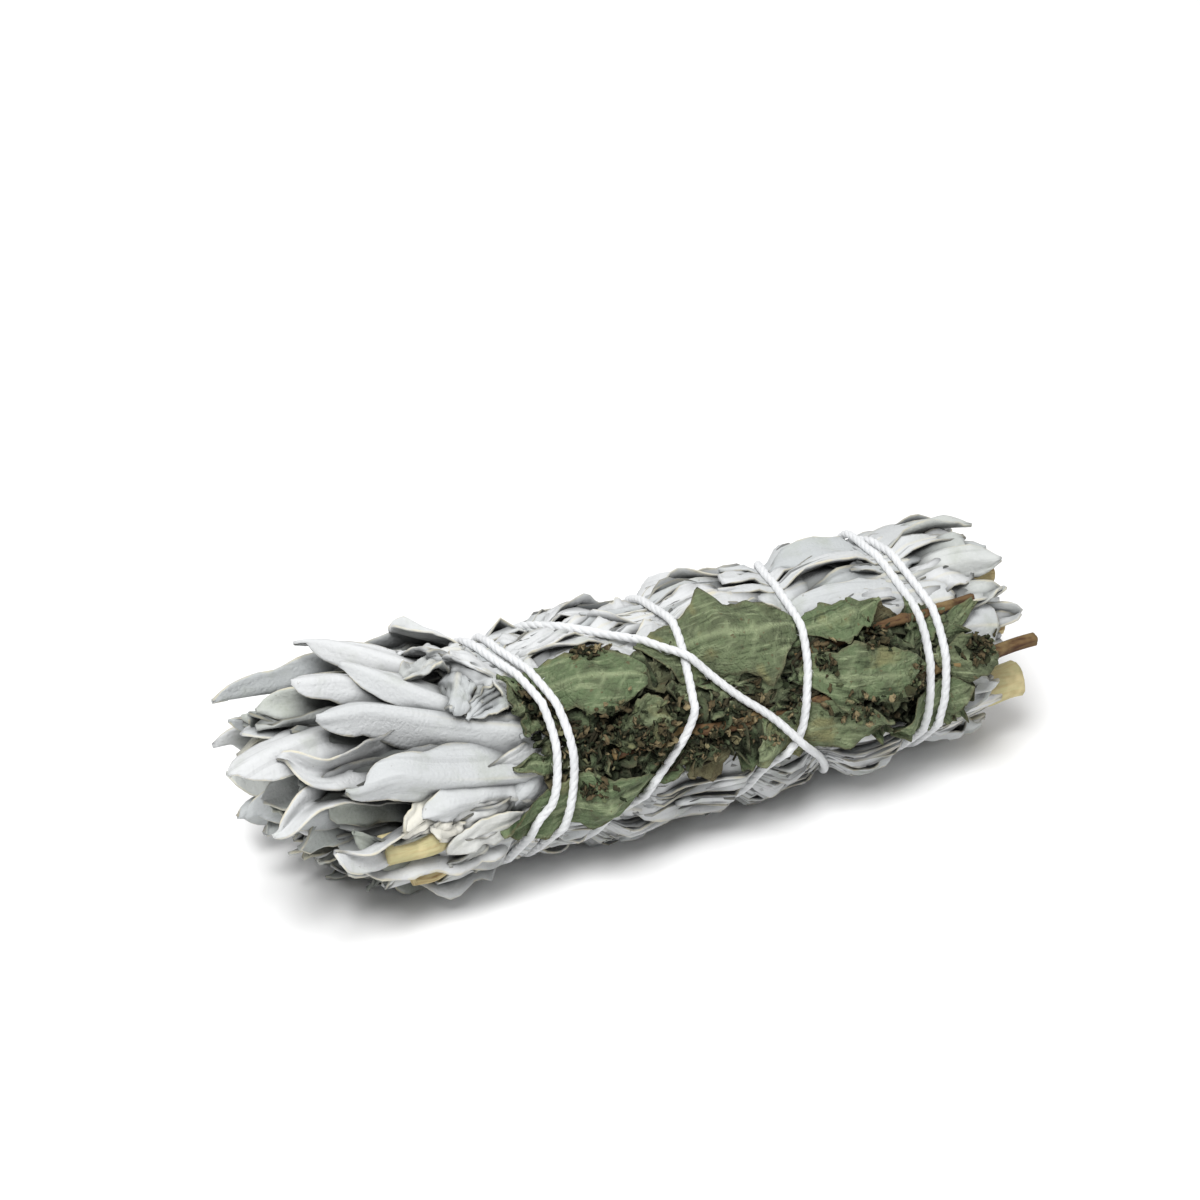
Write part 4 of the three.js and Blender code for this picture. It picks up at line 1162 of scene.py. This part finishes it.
class SageLook(bpy.types.PropertyGroup):
    """Sizes and colours of the sage."""
    thickness: length("Leaf thickness", "In the middle of each half", 0.5)
    rib_width: length("Rib width", "Of the rib along a leaf", 0.5)
    rib_height: length("Rib height", "How far the rib adds to the thickness", 0.4)
    roll_least: FloatProperty(
        name="Least edge roll", description="Of a leaf's edges", default=-0.7, subtype="ANGLE",
    )
    roll_most: FloatProperty(
        name="Most edge roll", description="Of a leaf's edges", default=1.6, subtype="ANGLE",
    )
    barrel_count: number("Barrel leaves", "Short leaves along the barrel", 150)
    strip_count: number("Strips", "Long rolled leaves along the barrel", 110)
    tip_count: number("Tip leaves", "Leaf tips inside the leaf end", 92)
    butt_count: number("Butt leaves", "Leaf ends round the cut stems", 64)
    pale: colour("Pale felt", "The lit face of a leaf", 0.60, 0.61, 0.615)
    grey: colour("Grey felt", "An older leaf", 0.43, 0.45, 0.455)
    green: colour("Green felt", "Where the felt is thin", 0.33, 0.36, 0.29)
    cream: colour("Cream edge", "Edges and ribs", 0.64, 0.59, 0.43)
    speck: colour("Specks", "Small dark spots", 0.16, 0.14, 0.10)
    # Painted shade: the near-black felt mixed in where leaves are hemmed in, along the painted crease lines
    # and in the heart.
    shade: colour("Painted shade felt", "Painted shade in gaps, along creases and in the heart", 0.045, 0.048, 0.048)
    # Painted shade: the heart's near-black colour stands in for the shadow inside the packed bundle.
    heart: colour("Heart", "Painted shade of the packed inside", 0.012, 0.013, 0.012)


class StemLook(bpy.types.PropertyGroup):
    """Colours of the woody stems."""
    bark: colour("Bark", "Sage stem", 0.46, 0.38, 0.20)
    streak: colour("Streaks", "Sage stem", 0.25, 0.16, 0.07)
    young: colour("Young bark", "Sage stem that was cut green", 0.50, 0.46, 0.25)
    cut: colour("Cut face", "Sage stem", 0.70, 0.60, 0.34)
    mint_bark: colour("Mint bark", "Mint stem", 0.135, 0.082, 0.038)
    mint_streak: colour("Mint streaks", "Mint stem", 0.07, 0.035, 0.02)
    mint_cut: colour("Mint pith", "Mint stem", 0.23, 0.165, 0.075)


class MintLook(bpy.types.PropertyGroup):
    """Sizes and colours of the mint."""
    thickness: length("Leaf thickness", "Of a mint leaf", 0.28)
    tooth_length: length("Tooth length", "Along the edge", 1.9)
    tooth_depth: FloatProperty(
        name="Tooth depth", description="Share of the half width", default=0.10, subtype="FACTOR",
    )
    vein_pairs: FloatProperty(name="Vein pairs", description="Side veins on each half", default=7.0)
    slack: length("Slack", "How far a leaf sags between what it lies on", 0.02)
    edge_lift: length("Edge lift", "How far edges curl up", 1.0)
    scrap_count: number("Scraps", "Crumpled leaf scraps", 110)
    fibre_count: number("Fibres", "Thin bits of stem", 60)
    crumb_count: number("Crumbs", "Flower crumbs about each place", 56)
    head_count: number("Head crumbs", "Flower crumbs along each head", 150)
    green: colour("Green", "A fresher leaf", 0.066, 0.116, 0.048)
    olive: colour("Olive", "An older leaf", 0.116, 0.138, 0.070)
    dark: colour("Dark", "A bruised leaf", 0.022, 0.030, 0.013)
    dry: colour("Dry", "A yellowed leaf", 0.25, 0.21, 0.08)
    brown: colour("Brown", "A dead edge", 0.110, 0.080, 0.042)
    # Painted shade: the near-black colour mixed into mint leaves and crumbs where their rays meet other
    # pieces.
    deep: colour("Deep", "Painted shade between leaves", 0.008, 0.009, 0.005)
    back: colour("Back", "The underside", 0.19, 0.22, 0.13)
    vein: colour("Veins", "Ribs and veins", 0.31, 0.36, 0.21)
    husk: colour("Husk", "Flower cups", 0.28, 0.225, 0.125)


class StringLook(bpy.types.PropertyGroup):
    """Sizes and colours of the string."""
    plies: number("Plies", "Yarns that are twisted together", 3)
    lay: length("Lay", "Length of one full twist", 4.2)
    fibre_count: number("Fibres", "Loose fibres that stand off", 500)
    white: colour("White", "Clean cotton", 0.70, 0.71, 0.72)
    shade: colour("Shade", "Handled cotton", 0.56, 0.57, 0.58)


class StageLook(bpy.types.PropertyGroup):
    """Floor and light."""
    floor: colour("Floor", "Pale floor", 0.88, 0.88, 0.88)
    key: FloatProperty(name="Key light", description="From above", default=9.6, unit="POWER")
    fill: FloatProperty(
        name="Fill light", description="From the right and from behind", default=1.4, unit="POWER",
    )
    sky: FloatProperty(name="Sky", description="Strength of the even light", default=0.27)


# Operators

class SMUDGE_OT_sage_leaves(bpy.types.Operator):
    """Build the sage leaves about their packed heart"""
    bl_idname = "smudge.sage_leaves"
    bl_label = "Sage leaves"

    def execute(self, context):
        look = context.scene.smudge_sage
        felt = sage_material(look)
        rng = np.random.default_rng(SEED)
        draw = Draw(SEED)
        rows_of_leaves = [row_leaves(row, draw) for row in SAGE_ROWS]
        # The first row's roots and the last row's tips stand at the butt, and leave the fattest stem free.
        for leaf in rows_of_leaves[0]:
            end = LONG_STOP if by_fat_stem(leaf["root"][1]) else leaf["root"][0] - 3
            leaf.update(root=(end, *leaf["root"][1:]), ends=(0.35, 0.2))
        for leaf in rows_of_leaves[-1]:
            end = LONG_STOP if by_fat_stem(leaf["root"][1]) else min(leaf["tip"][0], 54)
            leaf.update(tip=(end, *leaf["tip"][1:]))
        long_leaves = sum(rows_of_leaves, [])
        groups = {
            "sage_leaves_long": (long_leaves, 34, 12),
            "sage_leaves_fan": (fan_leaves() + loose_bits(rng), 44, 14),
            "sage_leaves_barrel": (barrel_leaves(rng, look.barrel_count), 20, 10),
            "sage_leaves_strips": (strip_leaves(rng, look.strip_count), 26, 8),
            "sage_leaves_tips": (tip_leaves(rng, look.tip_count), 22, 10),
            "sage_leaves_butt": (butt_leaves(rng, look.butt_count), 22, 10),
        }
        skins = {}
        for name, (leaves, rows, columns) in groups.items():
            skins[name] = Skin()
            for leaf in leaves:
                sage_blade(skins[name], leaf, rng, look, rows, columns)
        # The open share drives the painted shade in the felt.
        add_openness(skins.values(), (), rng)
        relief.add(*skins.values())
        for name, skin in skins.items():
            skin.piece(name, felt, "sage_leaf", "sage_bunch")
        heart = Skin()
        x = np.linspace(*HEART_SPAN, 60)
        rounding = ((x - HEART_MIDDLE) / HEART_HALF) ** 8
        radius = HEART_RADIUS * np.sqrt(np.clip(1 - rounding, 0.02, 1))
        line = np.stack([x, np.zeros_like(x), np.zeros_like(x)], axis=1)
        add_tube(
            heart, line, radius * (1 + 0.04 * np.sin(x * 1.7)), 40,
            shape=lambda a: 1 + 0.05 * np.sin(a * 11),
        )
        heart.piece("sage_heart_painted_shade", heart_painted_shade_material(look), "sage_leaf", "sage_bunch")
        return {"FINISHED"}


class SMUDGE_OT_sage_stems(bpy.types.Operator):
    """Build the cut sage stems"""
    bl_idname = "smudge.sage_stems"
    bl_label = "Sage stems"

    def execute(self, context):
        look = context.scene.smudge_stem
        wood = stem_material("sage_wood", look.bark, look.cut, look.streak)
        young = stem_material("sage_wood_young", look.young, look.cut, look.bark)
        rng = np.random.default_rng(SEED + 1)
        for i, (radius, distance, angle, inner, outer) in enumerate(SAGE_STEMS):
            skin = Skin()
            x = np.linspace(inner, outer, 40)
            bend = np.sin(np.linspace(0, 1, 40) * math.pi * rng.uniform(0.6, 1.6)) * 0.3
            if outer < 0:
                bend = bend + STUB_FLARE - STUB_SINK * smoothstep(x, -38, -28)
            knots = 1 + 0.05 * np.sin(x * rng.uniform(0.5, 0.9) + rng.uniform(0, 6))
            phase = rng.uniform(0, 6)
            add_tube(
                skin, on_bundle(x, angle, distance + bend), radius * 0.97 * knots, 28,
                shape=lambda a: 1 + 0.035 * np.cos(4 * a + phase) + 0.018 * np.sin(11 * a), cut=True,
            )
            relief.add(skin)
            bark = young if i in YOUNG_STEMS else wood
            skin.piece(f"sage_stem_{i + 1}_wood", bark, "sage_stem", f"sage_stem_{i + 1}")
        return {"FINISHED"}


class SMUDGE_OT_mint(bpy.types.Operator):
    """Lay the mint stems, leaves, scraps and flower heads on the sage"""
    bl_idname = "smudge.mint"
    bl_label = "Mint sprig"

    def execute(self, context):
        look, stems = context.scene.smudge_mint, context.scene.smudge_stem
        rng = np.random.default_rng(SEED + 2)
        leaf_skin, husk = mint_material(look), crumb_material(look)
        bark = stem_material("mint_wood", stems.mint_bark, stems.mint_cut, stems.mint_streak)
        pieces = {}

        def begin(name, material, slot, *nodes):
            skin = Skin()
            pieces[name] = (skin, material, slot, *nodes)
            return skin

        scraps = begin("mint_scraps", leaf_skin, "mint_leaf")
        for i in range(look.scrap_count):
            x = mix(*SCRAPS, (i + rng.uniform()) / look.scrap_count)
            angle = sprig_angle(x) + SCRAP_ARC * ((i * GOLDEN_SHARE) % 1.0 - 0.5)
            scrap(scraps, x, angle, rng, look, rng.uniform(4, 10), rng.uniform(1.3, 2.9))
        relief.add(scraps)
        for i, (radius, route) in enumerate(MINT_STEMS):
            skin = Skin()
            along = np.linspace(0, 1, 90)
            joints = 1 + 0.28 * np.exp(-(((along * 4.3) % 1.0 - 0.5) / 0.07) ** 2)
            line = lay_route(route, radius, 90, MINT_STEM_REST)
            add_tube(
                skin, line, radius * 0.85 * joints, 16, shape=lambda a: 1 + 0.12 * np.cos(4 * a), cut=True,
            )
            relief.add(skin)
            skin.piece(f"mint_stem_{i + 1}_wood", bark, "mint_stem", f"mint_stem_{i + 1}")
        for i, leaf in enumerate(MINT_LEAVES):
            skin = begin(f"mint_leaf_{i + 1}_blade", leaf_skin, "mint_leaf", f"mint_leaf_{i + 1}")
            mint_blade(skin, **leaf, rng=rng, look=look, crumple=MINT_CRUMPLE)
            relief.add(skin)
        for i, route in enumerate(MINT_HEADS):
            skin = begin(f"mint_flower_head_{i + 1}_husks", husk, "mint_flower", f"mint_flower_head_{i + 1}")
            line = lay_route(route, 0.5, 60)
            add_tube(skin, line, 0.4, 8, tone=0.3)
            for _ in range(look.head_count):
                centre = line[rng.integers(1, 59)] + rng.normal(0, 0.75, 3) * (1, 1, 0.6)
                crumb(skin, centre, rng, rng.uniform(0.4, 1.0))
            relief.add(skin)
        crumbs = begin("mint_crumbs", husk, "mint_flower")
        for x, angle, wide, turn in MINT_CRUMBS:
            for _ in range(look.crumb_count):
                at_x, at_angle = x + rng.normal(0, wide / 2), angle + rng.normal(0, turn / 2)
                if pull.distance(*np.array([at_x, at_angle])) < STRING_DIAMETER:
                    continue
                centre = on_bundle(at_x, at_angle, relief.height(at_x, at_angle) + rng.uniform(0.0, 0.5))
                crumb(crumbs, centre, rng, rng.uniform(0.2, 0.7))
        for _ in range(look.fibre_count):
            x = rng.uniform(-15, 34)
            angle, heading, half = sprig_angle(x) + rng.normal(0, 9), rng.normal(0, 0.5), rng.uniform(1.5, 5)
            turn = math.degrees(half * math.sin(heading) / AXIS_HEIGHT)
            dx = half * math.cos(heading)
            bent = (x, angle + rng.uniform(-3, 3))
            line = lay_route([(x - dx, angle - turn), bent, (x + dx, angle + turn)], 0.2, 16)
            add_tube(crumbs, line, rng.uniform(0.1, 0.28), 5, tone=rng.uniform(0.3, 0.72))
        skins = [piece[0] for piece in pieces.values()]
        around = [skin for skin in relief.skins if skin not in skins]
        # The open share drives the painted shade in the mint and the crumbs.
        add_openness(skins, around, rng)
        for name, (skin, *rest) in pieces.items():
            skin.piece(name, *rest)
        return {"FINISHED"}


class SMUDGE_OT_string(bpy.types.Operator):
    """Wind the cotton string about the bundle and knot it behind"""
    bl_idname = "smudge.string"
    bl_label = "Cotton string"

    def execute(self, context):
        look = context.scene.smudge_string
        rng = np.random.default_rng(SEED + 3)
        skin = Skin()
        line = string_line(0.5)
        add_string(skin, line, look)
        add_fibres(skin, line, look.fibre_count, rng)
        height = max(float(np.hypot(*line[i][1:])) for i in (0, -1))
        middle = on_bundle(*KNOT_PLACE, height + 0.6)
        t = np.linspace(0, 2 * np.pi, 90)
        trefoil = np.stack([
            np.sin(t) + 2 * np.sin(2 * t), np.cos(t) - 2 * np.cos(2 * t), -np.sin(3 * t),
        ], axis=1)
        add_tube(skin, middle + trefoil[:, (0, 2, 1)] * (0.52, 0.55, 0.42), STRING_DIAMETER * 0.46, 10)
        for x, angle in TAIL_ENDS:
            via = ((x + 2 * KNOT_PLACE[0]) / 3, (angle + 2 * KNOT_PLACE[1]) / 3)
            rest = max(relief.highest(x, angle, 1.0) + STRING_DIAMETER / 2, height - 0.2)
            tail = spline([middle, on_bundle(*via, height + 1.0), on_bundle(x, angle, rest)], 24)
            add_string(skin, tail, look)
        skin.piece("cotton_string_twist", string_material(look), "cotton_string", "cotton_string")
        return {"FINISHED"}


class SMUDGE_OT_stage(bpy.types.Operator):
    """Set the floor, the lights and the camera"""
    bl_idname = "smudge.stage"
    bl_label = "Stage"

    def execute(self, context):
        look, scene = context.scene.smudge_stage, context.scene
        mesh = bpy.data.meshes.new("floor")
        corners = ((-1, -1), (1, -1), (1, 1), (-1, 1))
        mesh.from_pydata([(x * FLOOR_SIZE, y * FLOOR_SIZE, 0) for x, y in corners], [], [(0, 1, 2, 3)])
        floor = bpy.data.objects.new("floor", mesh)
        scene.collection.objects.link(floor)
        g = Graph("pale_floor")
        mesh.materials.append(g.finish(Base_Color=rgba(look.floor), Roughness=0.9, Specular_IOR_Level=0.1))
        middle = Vector(AXIS * MM)
        for name, (place, width) in LIGHTS.items():
            light = bpy.data.lights.new(name, "AREA")
            light.energy = look.key if name == "key" else look.fill
            light.size = width
            lamp = bpy.data.objects.new(name, light)
            lamp.location = middle + Vector(place)
            lamp.rotation_euler = (middle - lamp.location).to_track_quat("-Z", "Y").to_euler()
            scene.collection.objects.link(lamp)
        world = bpy.data.worlds.new("studio")
        world.use_nodes = True
        background = world.node_tree.nodes["Background"]
        background.inputs["Color"].default_value = (1, 1, 1, 1)
        background.inputs["Strength"].default_value = look.sky
        scene.world = world
        scene.view_settings.view_transform = "Standard"
        camera = bpy.data.objects.new("camera", bpy.data.cameras.new("camera"))
        camera.data.lens, camera.data.sensor_width = CAMERA_LENS, CAMERA_SENSOR
        azimuth, elevation = math.radians(CAMERA_AZIMUTH), math.radians(CAMERA_ELEVATION)
        back = Vector((
            math.sin(azimuth) * math.cos(elevation),
            -math.cos(azimuth) * math.cos(elevation),
            math.sin(elevation),
        ))
        camera.location = Vector((AXIS + CAMERA_AIM) * MM) + back * CAMERA_DISTANCE * MM
        camera.rotation_euler = (-back).to_track_quat("-Z", "Y").to_euler()
        scene.collection.objects.link(camera)
        scene.camera = camera
        return {"FINISHED"}


class SMUDGE_PT_panel(bpy.types.Panel):
    """The smudge stick's pieces"""
    bl_label = "Smudge stick"
    bl_space_type = "VIEW_3D"
    bl_region_type = "UI"
    bl_category = "Smudge stick"

    def draw(self, context):
        for operator in OPERATORS:
            self.layout.operator(operator.bl_idname)


LOOKS = {
    "smudge_sage": SageLook, "smudge_stem": StemLook, "smudge_mint": MintLook,
    "smudge_string": StringLook, "smudge_stage": StageLook,
}
OPERATORS = (SMUDGE_OT_stage, SMUDGE_OT_sage_leaves, SMUDGE_OT_sage_stems, SMUDGE_OT_mint, SMUDGE_OT_string)


def register():
    for kind in (*LOOKS.values(), *OPERATORS, SMUDGE_PT_panel):
        bpy.utils.register_class(kind)
    for name, kind in LOOKS.items():
        setattr(bpy.types.Scene, name, PointerProperty(type=kind))


def unregister():
    for name in LOOKS:
        delattr(bpy.types.Scene, name)
    for kind in reversed((*LOOKS.values(), *OPERATORS, SMUDGE_PT_panel)):
        bpy.utils.unregister_class(kind)


def main():
    register()
    bpy.ops.smudge.stage()
    bpy.ops.smudge.sage_leaves()
    bpy.ops.smudge.sage_stems()
    bpy.ops.smudge.mint()
    bpy.ops.smudge.string()


if __name__ == "__main__":
    main()
